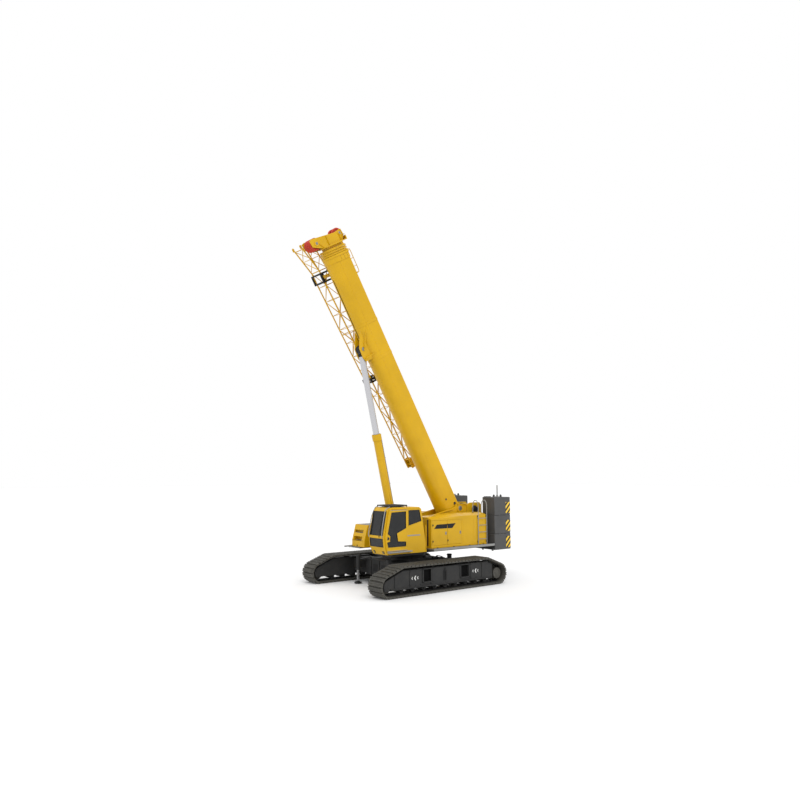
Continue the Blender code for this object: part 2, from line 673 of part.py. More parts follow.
def front_face(z):
    """X of the cab's front face at a height."""
    points = [(1.870, 2.395), (CAB_NOSE_Z, CAB_NOSE_X), (3.360, 2.225)]
    for (z0, x0), (z1, x1) in zip(points, points[1:]):
        if z <= z1:
            return x0 + (x1 - x0) * (z - z0) / (z1 - z0)
    return points[-1][1]


def cab_door(pivot):
    """Sliding door leaf with its window cut out and glazed."""
    inner = CAB_LEFT - DOOR_THICK
    outline = [(DOOR_REAR, 1.680), (2.270, 1.680), (2.360, 2.300), (2.170, 3.350), (2.100, 3.410),
               (DOOR_REAR, 3.410)]
    leaf = plate("cab_door", outline, inner, CAB_LEFT, "yellow", pivot)
    cut(leaf, plate("door_window_opening", DOOR_WINDOW, inner - 0.05, CAB_LEFT + 0.05, None, pivot))
    side_pane("door_window", DOOR_WINDOW, inner + PANE_THICK, pivot)
    return leaf


def inset_outline(obj, outline, amount):
    """Move each corner of a pane inwards along its two edges' normals."""
    count = len(outline)
    area = sum(outline[i - 1][0] * outline[i][1] - outline[i][0] * outline[i - 1][1] for i in range(count))
    turn = 1.0 if area > 0 else -1.0
    moves = []
    for i in range(count):
        before = Vector(outline[i]) - Vector(outline[i - 1])
        after = Vector(outline[(i + 1) % count]) - Vector(outline[i])
        n1 = Vector((-before.y, before.x)).normalized() * turn
        n2 = Vector((-after.y, after.x)).normalized() * turn
        bisector = (n1 + n2) / max(0.2, 1 + n1.dot(n2))
        moves.append((Vector(outline[i]), bisector * amount))
    for vert in obj.data.vertices:
        place = Vector((vert.co.x, vert.co.z))
        corner, move = min(moves, key=lambda item: (item[0] - place).length)
        vert.co.x = corner.x + move.x
        vert.co.z = corner.y + move.y


def cab_fittings(pivot):
    """Roof guard, seat and console."""
    low = CAB_ROOF + 0.006
    box("roof_guard", (1.10, 0.66, low), (2.06, 1.58, low + 0.09), "dark_grey", pivot)
    floor = CAB_BOTTOM + CAB_WALL + GAP
    seat = box("operator_seat", (0.55, 0.86, floor), (1.05, 1.36, floor + 0.52), "black", pivot)
    join(seat, box("seat_back", (0.42, 0.88, floor + 0.40), (0.58, 1.34, floor + 1.15), None, pivot))
    box("console", (1.75, 0.78, floor), (2.00, 1.42, floor + 0.62), "dark_grey", pivot)


# ---------------------------------------------------------------- housings
def hood_block(name, front, side, pivot):
    """Housing body: its outer face rises towards the rear, with a sloping shoulder above it."""
    floor = DECK_TOP + GAP
    bm = bmesh.new()
    rings = []
    for x, edge in ((HOOD_REAR, HOOD_EDGE_REAR), (HOOD_EDGE_X, HOOD_EDGE_REAR), (front, hood_edge(front))):
        corners = [(HOOD_INNER, floor), (HOOD_FACE, floor), (HOOD_FACE, edge),
                   (HOOD_FACE - HOOD_SHOULDER, edge + HOOD_CROWN), (HOOD_INNER, edge + HOOD_CROWN)]
        rings.append([bm.verts.new((x, side * y, z)) for y, z in corners])
    for first, second in zip(rings, rings[1:]):
        for i in range(len(first)):
            bm.faces.new((first[i - 1], first[i], second[i], second[i - 1]))
    bm.faces.new(rings[0])
    bm.faces.new(rings[-1])
    return add_object(name, mesh_from(bm, name, smooth_angle=0.05), "yellow", pivot)


def hood_edge(x):
    """Height of the housing's outer face at a place along the crane."""
    share = max(0.0, (x - HOOD_EDGE_X) / (HOOD_FRONT - HOOD_EDGE_X))
    return HOOD_EDGE_REAR + (HOOD_EDGE_FRONT - HOOD_EDGE_REAR) * share


def left_hood(pivot):
    """Engine housing on the left, hollow behind its two doors."""
    floor = DECK_TOP + GAP
    body = hood_block("hood_left", HOOD_FRONT, 1, pivot)
    wall = 0.04
    cut(body, box("hood_room", (HOOD_DOOR_SEAMS[2] + wall, HOOD_INNER + wall, floor + 0.05),
                  (HOOD_DOOR_SEAMS[0] - wall, HOOD_FACE - HOOD_SKIN - wall, HOOD_EDGE_FRONT - wall),
                  None, pivot))
    for i, (front, rear) in enumerate(zip(HOOD_DOOR_SEAMS, HOOD_DOOR_SEAMS[1:])):
        cut(body, box(f"hood_doorway_{i}", (rear, HOOD_FACE - HOOD_SKIN, HOOD_DOOR_BOTTOM),
                      (front, HOOD_FACE + 0.05, HOOD_DOOR_TOP), None, pivot))
        cut(body, box(f"hood_hole_{i}", (rear + 0.05, HOOD_FACE - 0.20, HOOD_DOOR_BOTTOM + 0.05),
                      (front - 0.05, HOOD_FACE + 0.05, HOOD_DOOR_TOP - 0.05), None, pivot))
        hinge = empty(f"hood_door_{i + 1}_axis", (front - 0.006, HOOD_FACE + 0.010, 0.0), pivot)
        box(f"hood_door_{i + 1}", (rear - front + 0.012, GAP - 0.010 - HOOD_SKIN, HOOD_DOOR_BOTTOM + 0.006),
            (0.0, -0.010, HOOD_DOOR_TOP - 0.006), "yellow", hinge)
    box("engine", (-2.0, 0.80, floor + 0.05 + GAP), (-0.50, 1.40, floor + 1.05), "dark_grey", pivot)


def right_hood(pivot):
    """Tank housing on the right and the stepped box before it."""
    floor = DECK_TOP + GAP
    hood_block("hood_right", RIGHT_HOOD_FRONT, -1, pivot)
    outline = [(STEP_BOX_REAR, floor), (STEP_BOX_FRONT, floor), (STEP_BOX_FRONT, 1.91),
               (STEP_BOX_FRONT_TOP, STEP_BOX_TOP), (STEP_BOX_REAR, STEP_BOX_TOP)]
    step_box = plate("step_box", outline, -STEP_BOX_OUTER, -STEP_BOX_INNER, "yellow", pivot)
    for i, (low, high) in enumerate(((2.27, 2.385), (1.935, 2.10))):
        cut(step_box, box(f"step_{i}", (1.50, -1.55, low), (2.0, -0.90, high), None, pivot))


def ladder(pivot):
    """Ladder on the left housing, with hand hoops over the top."""
    y = HOOD_FACE + 0.045
    curve_points = [(y, DECK_TOP + GAP), (y, 3.45), (y - 0.06, 3.63), (y - 0.16, 3.70), (y - 0.28, 3.66),
                    (y - 0.36, 3.50), (y - 0.36, 3.30), (y - 0.36, HOOD_EDGE_REAR + HOOD_CROWN + GAP)]
    stiles = []
    for i, x in enumerate((-3.156, -3.725)):
        name = "ladder" if i == 0 else "ladder_stile_1"
        stiles.append(tube(name, [(x, py, pz) for py, pz in curve_points], 0.018,
                           "deck_grey" if i == 0 else None, pivot))
    join(stiles[0], stiles[1])
    for i in range(5):
        z = 1.90 + 0.32 * i
        join(stiles[0], rod(f"rung_{i}", (-3.725, y, z), (-3.156, y, z), 0.014, None, pivot, sides=8))


def counterweight(pivot):
    """Full-width base slab with two stacked blocks on each side."""
    box("counterweight_base", (CW_REAR, -CW_HALF_WIDTH, CW_BOTTOM),
        (CW_FRONT, CW_HALF_WIDTH, CW_SEAMS[0] - GAP), "weight_grey", pivot, bevel=0.02)
    levels = (CW_SEAMS[0], CW_SEAMS[1], CW_TOP)
    for side, word in ((1, "left"), (-1, "right")):
        for low, high, place in ((levels[0], levels[1], "middle"), (levels[1], levels[2], "top")):
            y0, y1 = sorted((side * CW_TOWER_INNER, side * CW_HALF_WIDTH))
            box(f"counterweight_{word}_{place}", (CW_REAR, y0, low + GAP), (CW_FRONT, y1, high - GAP),
                "weight_grey", pivot, bevel=0.02)


def winch(pivot):
    """Hoist winch: yellow side frames and the drum between them."""
    floor = DECK_TOP + GAP
    frame = box("winch_frame", (-4.00, -0.49, floor + 0.005), (-3.54, 0.49, floor + 0.06), "yellow", pivot)
    for side in (-1, 1):
        y0, y1 = sorted((side * 0.46, side * 0.52))
        outline = [(-3.52, floor), (-3.52, 3.45), (-3.75, 3.55), (-4.40, 3.55), (-4.55, 3.40),
                   (-4.55, 2.90), (-4.02, 2.70), (-4.02, floor)]
        join(frame, plate(f"winch_side_{side}", outline, y0, y1, None, pivot))
    half = WINCH_HALF_WIDTH
    drum_pivot = empty("winch_axis", (WINCH_X, 0.0, WINCH_Z), pivot)
    profile = [(0.0, half + 0.03), (0.09, half + 0.03), (0.09, half), (WINCH_FLANGE_RADIUS, half),
               (WINCH_FLANGE_RADIUS, half - 0.03), (WINCH_DRUM_RADIUS, half - 0.03)]
    profile = profile + [(r, -h) for r, h in reversed(profile)]
    turned("winch_drum", profile, (0, 0, 0), "dark_grey", drum_pivot, steps=28)


# ---------------------------------------------------------------- boom
def section_outline(inset):
    """Boom section seen along the boom: flat top and sides, rounded belly. (y, z) points."""
    half = BOOM_HALF_WIDTH - inset
    top = BOOM_TOP - inset
    bottom = BOOM_BOTTOM - inset
    knee = -0.10
    belly = bottom + knee
    points = [(half, top - 0.03), (half - 0.03, top), (-half + 0.03, top), (-half, top - 0.03)]
    steps = 12
    for i in range(steps + 1):
        angle = pi + pi * i / steps
        points.append((half * cos(angle), knee + belly * sin(angle)))
    return points


def boom_tube(name, start, end, inset, collar, parent):
    """A hollow telescoping section along X, with a collar round its front end."""
    obj = boom_prism(name, start, end, section_outline(inset), "yellow", parent)
    if collar:
        join(obj, boom_prism(name + "_collar", *collar, section_outline(-COLLAR_PROUD), None, parent))
    bore = section_outline(inset + BOOM_WALL)
    cut(obj, boom_prism(name + "_bore", start - 0.5, end + 1.0, bore, None, parent))


def boom_prism(name, start, end, outline, colour, parent):
    """A boom outline drawn out along X, below the foot pin by the drop."""
    bm = bmesh.new()
    ring = [bm.verts.new((start, y, z - BOOM_DROP)) for y, z in outline]
    face = bm.faces.new(ring)
    extruded = bmesh.ops.extrude_face_region(bm, geom=[face])
    moved = [item for item in extruded["geom"] if isinstance(item, bmesh.types.BMVert)]
    bmesh.ops.translate(bm, vec=(end - start, 0.0, 0.0), verts=moved)
    return add_object(name, mesh_from(bm, name), colour, parent)


def boom(pivot):
    """Base section and the telescoping sections nested in it."""
    base = boom_prism("boom_base", BOOM_TAIL, BOOM_FRONT, section_outline(0.0), "yellow", pivot)
    boss = PIVOT_PLATE_Y - FOOT_BOSS_CLEAR
    join(base, rod("foot_boss", (0, -boss, 0), (0, boss, 0), FOOT_BOSS_RADIUS, None, pivot))
    gusset = [(ROD_PIN_A - 0.62, ROD_PIN_B + 0.42), (ROD_PIN_A - 0.55, ROD_PIN_B - 0.12),
              (ROD_PIN_A - 0.35, ROD_PIN_B - 0.20), (ROD_PIN_A + 0.10, ROD_PIN_B - 0.17),
              (ROD_PIN_A + 0.75, ROD_PIN_B + 0.22), (ROD_PIN_A + 0.95, ROD_PIN_B + 0.45)]
    for side in (-1, 1):
        inner = ROD_EYE_HALF + EYE_CLEAR
        y0, y1 = sorted((side * inner, side * (inner + 0.05)))
        join(base, plate(f"gusset_{side}", gusset, y0, y1, None, pivot))
    cut(base, boom_prism("boom_base_bore", BOOM_TAIL - 0.5, BOOM_FRONT + 1.0,
                         section_outline(BOOM_WALL), None, pivot))
    for number in range(2, SECTION_COUNT + 1):
        inset = SECTION_STEP * (number - 1)
        front = BOOM_FRONT + (COLLAR_LENGTH + COLLAR_GAP) * (number - 1)
        start = 0.35 + 0.12 * (number - 1)
        collar = None if number == SECTION_COUNT else (front - COLLAR_LENGTH, front)
        boom_tube(f"boom_section_{number}", start, front, inset, collar, pivot)


def boom_head(pivot):
    """Side plates and cross plate of the boom head, on the last section."""
    drop = BOOM_DROP
    outline = [(HEAD_START + 0.02, 0.55 - drop), (HEAD_START + 0.02, -0.53 - drop), (13.95, -1.045 - drop),
               (14.25, -1.09 - drop), (HEAD_END, -0.95 - drop), (14.20, 0.30 - drop), (14.26, 0.70 - drop),
               (13.98, 0.74 - drop)]
    front = BOOM_FRONT + (COLLAR_LENGTH + COLLAR_GAP) * (SECTION_COUNT - 1)
    head = boom_prism("boom_head", front + GAP, front + 0.06, section_outline(0.02), "yellow", pivot)
    for side in (-1, 1):
        y0, y1 = sorted((side * HEAD_PLATE_Y, side * (HEAD_PLATE_Y + HEAD_PLATE_THICK)))
        join(head, plate(f"head_plate_{side}", outline, y0, y1, None, pivot))
    for i, (place, name) in enumerate(((UPPER_SHEAVE, "upper_sheaves"), (LOWER_SHEAVE, "lower_sheaves"))):
        a, b = place
        axis = empty(name + "_axis", (a, 0.0, b), pivot)
        half = HEAD_PLATE_Y - 0.03
        count = 2 if i == 0 else 4
        pitch = 2 * half / count
        profile = [(0.0, half)]
        for j in range(count):
            y = half - j * pitch
            groove = SHEAVE_RADIUS - 0.05
            profile += [(SHEAVE_RADIUS, y - 0.006), (SHEAVE_RADIUS, y - 0.016), (groove, y - pitch / 2),
                        (SHEAVE_RADIUS, y - pitch + 0.016), (SHEAVE_RADIUS, y - pitch + 0.006)]
            if j < count - 1:
                profile += [(SHEAVE_RADIUS - 0.04, y - pitch)]
        profile += [(0.0, -half)]
        turned(name, profile, (0, 0, 0), "red", axis, steps=28)


def luff_cylinder(pivot, boom_pivot):
    """Barrel and rod on one line between their pins. Both are drawn along X from the foot pin."""
    foot = Vector((CYL_FOOT_X, 0, CYL_FOOT_Z))
    top = (Matrix.Translation((PIVOT_X, 0, PIVOT_Z)) @ Matrix.Rotation(-BOOM_ANGLE, 4, "Y")
           @ Vector((ROD_PIN_A, 0, ROD_PIN_B)))
    run = top - foot
    lean = atan2(run.z, run.x)
    length = run.length
    barrel_axis = empty("luff_cylinder_foot_pin", foot, pivot, turn_y=-lean)
    barrel = rod("cylinder_barrel", (0.14, 0, 0), (BARREL_LENGTH, 0, 0), BARREL_RADIUS, "yellow",
                 barrel_axis, sides=24)
    join(barrel, rod("barrel_eye", (0, -FOOT_EYE_HALF, 0), (0, FOOT_EYE_HALF, 0), EYE_RADIUS, None,
                     barrel_axis))
    cut(barrel, rod("barrel_bore", (BORE_START, 0, 0), (BARREL_LENGTH + 0.1, 0, 0),
                    ROD_RADIUS + ROD_CLEAR, None, barrel_axis, sides=24))
    rod_axis = empty("luff_cylinder_rod_pin", (ROD_PIN_A, 0, ROD_PIN_B), boom_pivot,
                     turn_y=BOOM_ANGLE - lean)
    ram = rod("cylinder_rod", (ROD_START - length, 0, 0), (-0.1, 0, 0), ROD_RADIUS, "chrome", rod_axis,
              sides=24)
    join(ram, rod("rod_eye", (0, -ROD_EYE_HALF, 0), (0, ROD_EYE_HALF, 0), EYE_RADIUS, None, rod_axis))


# ---------------------------------------------------------------- jib
def jib_section(a):
    """Low, high, inner and outer of the jib at a place along the boom."""
    for first, second in zip(JIB_STATIONS, JIB_STATIONS[1:]):
        if a >= second[0]:
            share = (a - first[0]) / (second[0] - first[0])
            return [p + (q - p) * share for p, q in zip(first[1:], second[1:])]
    return list(JIB_STATIONS[-1][1:])


def jib_corner(a, i):
    """One of the jib's four chords at a place along the boom."""
    low, high, inner, outer = jib_section(a)
    return (a, (outer, outer, inner, inner)[i], (low, high, high, low)[i])


def jib(pivot):
    """Four-chord lattice jib that tapers to its tip plates."""
    lattice_start = JIB_STATIONS[1][0]
    tip = JIB_STATIONS[-1][0]
    frame = box("jib", *tip_box(tip), "yellow", pivot)
    bars = bpy.data.collections.new("jib_bars")
    tools.children.link(bars)
    pieces = []
    for i in range(4):
        points = [jib_corner(station[0], i) for station in JIB_STATIONS]
        pieces.append(tube(f"jib_chord_{i}", points, JIB_CHORD, None, pivot))
    step = (tip + 0.3 - lattice_start) / JIB_BAYS
    for k in range(JIB_BAYS):
        for i in range(4):
            j = (i + 1) % 4
            first, second = (i, j) if k % 2 == 0 else (j, i)
            stagger = 0.03 * i + 0.01
            a = lattice_start + step * k - stagger
            b = a + step + 0.012
            pieces.append(rod(f"jib_brace_{k}_{i}", jib_corner(a, first), jib_corner(b, second),
                              JIB_BRACE, None, pivot, sides=5))
    for piece in pieces:
        tools.objects.unlink(piece)
        bars.objects.link(piece)
    union = frame.modifiers.new("union", "BOOLEAN")
    union.operation = "UNION"
    union.solver = "EXACT"
    union.operand_type = "COLLECTION"
    union.collection = bars
    return frame


def tip_box(tip):
    """Corners of the closed box at the jib's thin end."""
    low, high, inner, outer = jib_section(tip)
    return (tip - 0.05, outer - 0.02, low - 0.02), (tip + 0.45, inner + 0.02, high + 0.02)


def jib_brackets(pivot):
    """Frames round the stowed jib, each on an arm from the boom's side."""
    for word, place, length in BRACKET_PLACES:
        name = "jib_bracket_" + word
        rear = place - length / 2
        front = place + length / 2
        low, high, inner, outer = jib_section(rear)
        around = JIB_CHORD + 0.006
        low = min(low, jib_section(front)[0]) - around
        high = max(high, jib_section(front)[1]) + around
        inner = max(inner, jib_section(front)[2]) + around
        outer -= around
        arm = box(name, (rear, outer - BRACKET_BAR, high),
                  (front, -BOOM_HALF_WIDTH - GAP, high + BRACKET_ARM), "dark_grey", pivot)
        for part, near, far in (("outer", outer - BRACKET_BAR, outer), ("inner", inner, inner + BRACKET_BAR)):
            join(arm, box(f"{name}_{part}", (rear, near, low - 0.01), (front, far, high + 0.01), None,
                          pivot))
        join(arm, box(f"{name}_under", (rear, outer - BRACKET_BAR, low - BRACKET_BAR),
                      (front, inner + BRACKET_BAR, low), None, pivot))
        start = rear + BRACKET_RIM
        end = front - BRACKET_RIM
        cut(arm, box(f"{name}_side_window", (start, outer - 0.1, low + BRACKET_BAR),
                     (end, inner + 0.1, high - BRACKET_BAR), None, pivot),
            box(f"{name}_top_window", (start, outer + BRACKET_BAR, low - 0.1),
                (end, inner - BRACKET_BAR, high + BRACKET_ARM + 0.1), None, pivot))


# ---------------------------------------------------------------- assembly
slew = empty("slew_axis", (0, 0, 0))
boom_pivot = empty("boom_foot_pin", (PIVOT_X, 0, PIVOT_Z), slew, turn_y=-BOOM_ANGLE)

left_track = empty("left_track_axis", (0, 0, 0))
right_track = empty("right_track_axis", (0, 0, 0))
crawler(1, "left", left_track)
crawler(-1, "right", right_track)
carbody()
for word, (jack_x, jack_y) in zip(("front_left", "front_right", "rear_left", "rear_right"), jack_places()):
    jack_foot("jack_" + word, jack_x, jack_y)
slew_ring()
platform(slew)
pivot_plates(slew)
decks(slew)
cab(slew)
cab_door(slew)
cab_fittings(slew)
left_hood(slew)
right_hood(slew)
ladder(slew)
counterweight(slew)
winch(slew)
boom(boom_pivot)
boom_head(boom_pivot)
luff_cylinder(slew, boom_pivot)
jib(boom_pivot)
jib_brackets(boom_pivot)
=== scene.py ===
"""Looks of the crawler crane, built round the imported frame. Metres; +X forward, +Y left, +Z up."""
from math import atan2, cos, hypot, pi, radians, sin, sqrt

import bmesh
import bpy
from mathutils import Matrix, Vector


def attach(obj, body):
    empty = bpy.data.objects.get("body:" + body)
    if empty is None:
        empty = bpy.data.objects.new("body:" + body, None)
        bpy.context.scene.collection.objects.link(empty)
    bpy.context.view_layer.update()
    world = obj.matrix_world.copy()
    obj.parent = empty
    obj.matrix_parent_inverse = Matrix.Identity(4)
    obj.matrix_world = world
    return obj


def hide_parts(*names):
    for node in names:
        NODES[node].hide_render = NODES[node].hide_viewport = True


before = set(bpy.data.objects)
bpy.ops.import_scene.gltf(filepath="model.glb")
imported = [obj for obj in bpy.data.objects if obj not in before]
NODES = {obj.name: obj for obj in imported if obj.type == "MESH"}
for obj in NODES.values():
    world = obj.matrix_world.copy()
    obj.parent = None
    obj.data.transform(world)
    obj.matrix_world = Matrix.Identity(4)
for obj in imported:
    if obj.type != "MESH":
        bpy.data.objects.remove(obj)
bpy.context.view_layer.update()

SCENE = bpy.context.scene

BOOM_ANGLE = radians(59.6)
PIVOT_X, PIVOT_Z = -3.05, 3.3                    # the boom's foot pin
PIVOT = Vector((PIVOT_X, 0.0, PIVOT_Z))
BOOM = Matrix.Translation(PIVOT) @ Matrix.Rotation(-BOOM_ANGLE, 4, "Y")
FOOT_X, FOOT_Z = 0.498, 2.0                      # the luffing cylinder's foot pin
CYL_FOOT = Vector((FOOT_X, 0.0, FOOT_Z))
PIN_A, PIN_B = 9.04, -1.15                        # its upper pin, in the boom's frame
ROD_PIN = BOOM @ Vector((PIN_A, 0.0, PIN_B))
CYL_RUN = ROD_PIN - CYL_FOOT
CYLINDER = Matrix.Translation(CYL_FOOT) @ Matrix.Rotation(-atan2(CYL_RUN.z, CYL_RUN.x), 4, "Y")
CYL_LENGTH = CYL_RUN.length


# ------------------------------------------------------------------ materials
def srgb(r, g, b):
    """Linear colour from 0-255 display values."""
    def lin(c):
        c /= 255.0
        return c / 12.92 if c <= 0.04045 else ((c + 0.055) / 1.055) ** 2.4
    return (lin(r), lin(g), lin(b), 1.0)


def darker(colour, share):
    return tuple(c * share for c in colour[:3]) + (1.0,)


class Nodes:
    """Small helper round one material's node tree."""

    def __init__(self, name):
        self.mat = bpy.data.materials.new(name)
        self.mat.use_nodes = True
        self.tree = self.mat.node_tree
        self.shader = self.tree.nodes["Principled BSDF"]
        coords = self.tree.nodes.new("ShaderNodeTexCoord")
        self.coords = coords.outputs["Object"]

    def add(self, kind, **values):
        node = self.tree.nodes.new(kind)
        for key, value in values.items():
            if key in node.inputs:
                node.inputs[key].default_value = value
            else:
                setattr(node, key, value)
        return node

    def link(self, out, into):
        self.tree.links.new(out, into)

    def set(self, **values):
        """Values on the shader's own sockets; _ stands for a space in their names."""
        for key, value in values.items():
            self.shader.inputs[key.replace("_", " ")].default_value = value

    def colour(self, out):
        self.link(out, self.shader.inputs["Base Color"])

    def rough(self, scale, detail, low, high, first=0.3, last=0.7):
        self.link(self.ramp(self.noise(scale, detail), first, last, low, high), self.shader.inputs["Roughness"])

    def noise(self, scale, detail=4.0, rough=0.55, coords=None):
        node = self.add("ShaderNodeTexNoise", Scale=scale, Detail=detail, Roughness=rough)
        self.link(coords or self.coords, node.inputs["Vector"])
        return node.outputs["Fac"]

    def ramp(self, value, low, high, a=0.0, b=1.0):
        node = self.add("ShaderNodeMapRange")
        for key, limit in (("From Min", low), ("From Max", high), ("To Min", a), ("To Max", b)):
            node.inputs[key].default_value = limit
        self.link(value, node.inputs["Value"])
        return node.outputs["Result"]

    def mix(self, factor, a, b):
        node = self.add("ShaderNodeMix", data_type="RGBA")
        self.link(factor, node.inputs[0])
        for value, socket in ((a, node.inputs[6]), (b, node.inputs[7])):
            if isinstance(value, tuple):
                socket.default_value = value
            else:
                self.link(value, socket)
        return node.outputs[2]

    def math(self, operation, a, b=0.0):
        node = self.add("ShaderNodeMath", operation=operation)
        for value, socket in ((a, node.inputs[0]), (b, node.inputs[1])):
            if isinstance(value, float):
                socket.default_value = value
            else:
                self.link(value, socket)
        return node.outputs[0]

    def edges(self, radius):
        """1 near a convex or concave edge, 0 on flat faces."""
        bevel = self.add("ShaderNodeBevel", samples=6)
        bevel.inputs["Radius"].default_value = radius
        geometry = self.add("ShaderNodeNewGeometry")
        dot = self.add("ShaderNodeVectorMath", operation="DOT_PRODUCT")
        self.link(bevel.outputs["Normal"], dot.inputs[0])
        self.link(geometry.outputs["Normal"], dot.inputs[1])
        return self.ramp(dot.outputs["Value"], 0.985, 0.9)

    def bump(self, height, strength, distance):
        node = self.add("ShaderNodeBump", Strength=strength, Distance=distance)
        self.link(height, node.inputs["Height"])
        self.link(node.outputs["Normal"], self.shader.inputs["Normal"])

    def height(self):
        """World height of the point, with the crane parked."""
        split = self.add("ShaderNodeSeparateXYZ")
        self.link(self.coords, split.inputs[0])
        return split.outputs["Z"]


def paint(name, colour, dusty, worn, rough=0.36, dust=0.35, wear=0.5, radius=0.012, coat=0.0, gleam=0.25):
    """Sprayed paint: faint mottling, dust in the low places and chipped, rubbed edges."""
    n = Nodes(name)
    tone = n.ramp(n.noise(0.9, 5.0), 0.35, 0.68)
    base = n.mix(tone, colour, darker(colour, 0.88))
    grime = n.math("MULTIPLY", n.ramp(n.noise(2.3, 8.0, 0.65), 0.48, 0.72), n.ramp(n.height(), 3.2, 0.9, 0.1, dust))
    base = n.mix(grime, base, dusty)
    chips = n.math("MULTIPLY", n.edges(radius), n.ramp(n.noise(9.0, 6.0, 0.7), 0.5, 0.66, 0.0, wear))
    base = n.mix(chips, base, worn)
    n.colour(base)
    n.rough(5.0, 6.0, rough - 0.06, rough + 0.14)
    n.set(Specular_IOR_Level=gleam, Coat_Weight=coat, Coat_Roughness=0.22)
    n.bump(n.noise(160.0, 2.0), 0.1, 0.0015)
    return n.mat


def steel(name, colour, bright, rough=0.5, metallic=0.6, scale=6.0, wear=0.8, radius=0.01):
    """Bare or thinly painted steel, polished where it rubs."""
    n = Nodes(name)
    tone = n.ramp(n.noise(scale, 8.0, 0.65), 0.35, 0.7)
    base = n.mix(tone, colour, darker(colour, 0.6))
    rub = n.math("MULTIPLY", n.edges(radius), n.ramp(n.noise(scale * 3, 5.0), 0.38, 0.62, 0.0, wear))
    base = n.mix(rub, base, bright)
    n.colour(base)
    n.set(Metallic=metallic)
    n.rough(scale * 2, 6.0, rough - 0.1, rough + 0.15)
    n.bump(n.noise(scale * 14, 5.0, 0.6), 0.22, 0.003)
    return n.mat


def chrome(name):
    """Hard-chromed rod with faint wiping marks round it."""
    n = Nodes(name)
    n.set(Base_Color=srgb(192, 192, 195), Metallic=0.75)
    n.rough(7.0, 5.0, 0.16, 0.32)
    n.bump(n.noise(55.0, 3.0), 0.03, 0.001)
    return n.mat


def glass(name):
    """Dark tinted safety glass with a little dust."""
    n = Nodes(name)
    dust = n.ramp(n.noise(3.0, 7.0), 0.45, 0.75, 0.0, 0.18)
    n.colour(n.mix(dust, srgb(34, 35, 36), srgb(74, 73, 70)))
    n.rough(6.0, 5.0, 0.03, 0.14, 0.4, 0.8)
    n.set(Specular_IOR_Level=0.3, Transmission_Weight=0.3, IOR=1.45)
    return n.mat


def tread_plate(name, colour):
    """Deck plate with raised diamond studs, worn bright on top."""
    n = Nodes(name)
    studs = []
    for turn in (0.785, -0.785):
        mapping = n.add("ShaderNodeMapping")
        mapping.inputs["Rotation"].default_value = (0.0, 0.0, turn)
        mapping.inputs["Scale"].default_value = (1.0, 2.6, 1.0)
        n.link(n.coords, mapping.inputs["Vector"])
        cells = n.add("ShaderNodeTexVoronoi", Scale=16.0, Randomness=0.0)
        n.link(mapping.outputs[0], cells.inputs["Vector"])
        studs.append(n.ramp(cells.outputs["Distance"], 0.3, 0.2))
    height = n.math("MAXIMUM", studs[0], studs[1])
    tone = n.ramp(n.noise(3.0, 7.0), 0.35, 0.7)
    base = n.mix(tone, colour, darker(colour, 0.7))
    base = n.mix(n.math("MULTIPLY", height, 0.5), base, srgb(165, 163, 158))
    n.colour(base)
    n.set(Metallic=0.35)
    n.rough(8.0, 4.0, 0.4, 0.62)
    n.bump(height, 0.5, 0.004)
    return n.mat


def rubber(name, colour=(0.012, 0.012, 0.013, 1.0), rough=0.65):
    """Seals, hoses and hard plastic: fine grain, a little dust."""
    n = Nodes(name)
    dust = n.ramp(n.noise(14.0, 6.0), 0.5, 0.75, 0.0, 0.25)
    n.colour(n.mix(dust, colour, srgb(95, 92, 86)))
    n.rough(20.0, 3.0, rough - 0.1, rough + 0.1)
    n.bump(n.noise(220.0, 2.0), 0.15, 0.001)
    return n.mat


def hazard(name):
    """Slanting yellow and black bands, a little scuffed."""
    n = Nodes(name)
    split = n.add("ShaderNodeSeparateXYZ")
    n.link(n.coords, split.inputs[0])
    slant = n.math("ADD", split.outputs["X"], split.outputs["Z"])
    band = n.math("FRACT", n.math("MULTIPLY", slant, 3.85))
    edge = n.ramp(band, 0.49, 0.51)
    base = n.mix(edge, srgb(232, 190, 40), srgb(24, 24, 25))
    scuff = n.ramp(n.noise(12.0, 8.0, 0.7), 0.6, 0.75, 0.0, 0.4)
    n.colour(n.mix(scuff, base, srgb(110, 108, 104)))
    n.rough(9.0, 4.0, 0.35, 0.55)
    n.bump(n.noise(140.0, 2.0), 0.08, 0.001)
    return n.mat


def rope_steel(name):
    """Wire rope wound on a drum: fine strands across the lay."""
    n = Nodes(name)
    wave = n.add("ShaderNodeTexWave", Scale=34.0, Distortion=1.2)
    wave.bands_direction = "DIAGONAL"
    n.link(n.coords, wave.inputs["Vector"])
    n.colour(n.mix(wave.outputs["Fac"], srgb(52, 51, 49), srgb(118, 115, 108)))
    n.set(Metallic=0.7)
    n.rough(20.0, 3.0, 0.38, 0.55)
    n.bump(wave.outputs["Fac"], 0.3, 0.002)
    return n.mat


def lens(name, colour):
    """Lamp glass with a ribbed face."""
    n = Nodes(name)
    wave = n.add("ShaderNodeTexWave", Scale=26.0, Distortion=0.0)
    n.link(n.coords, wave.inputs["Vector"])
    n.colour(n.mix(wave.outputs["Fac"], colour, darker(colour, 0.7)))
    n.rough(9.0, 4.0, 0.06, 0.16)
    n.bump(wave.outputs["Fac"], 0.4, 0.002)
    return n.mat


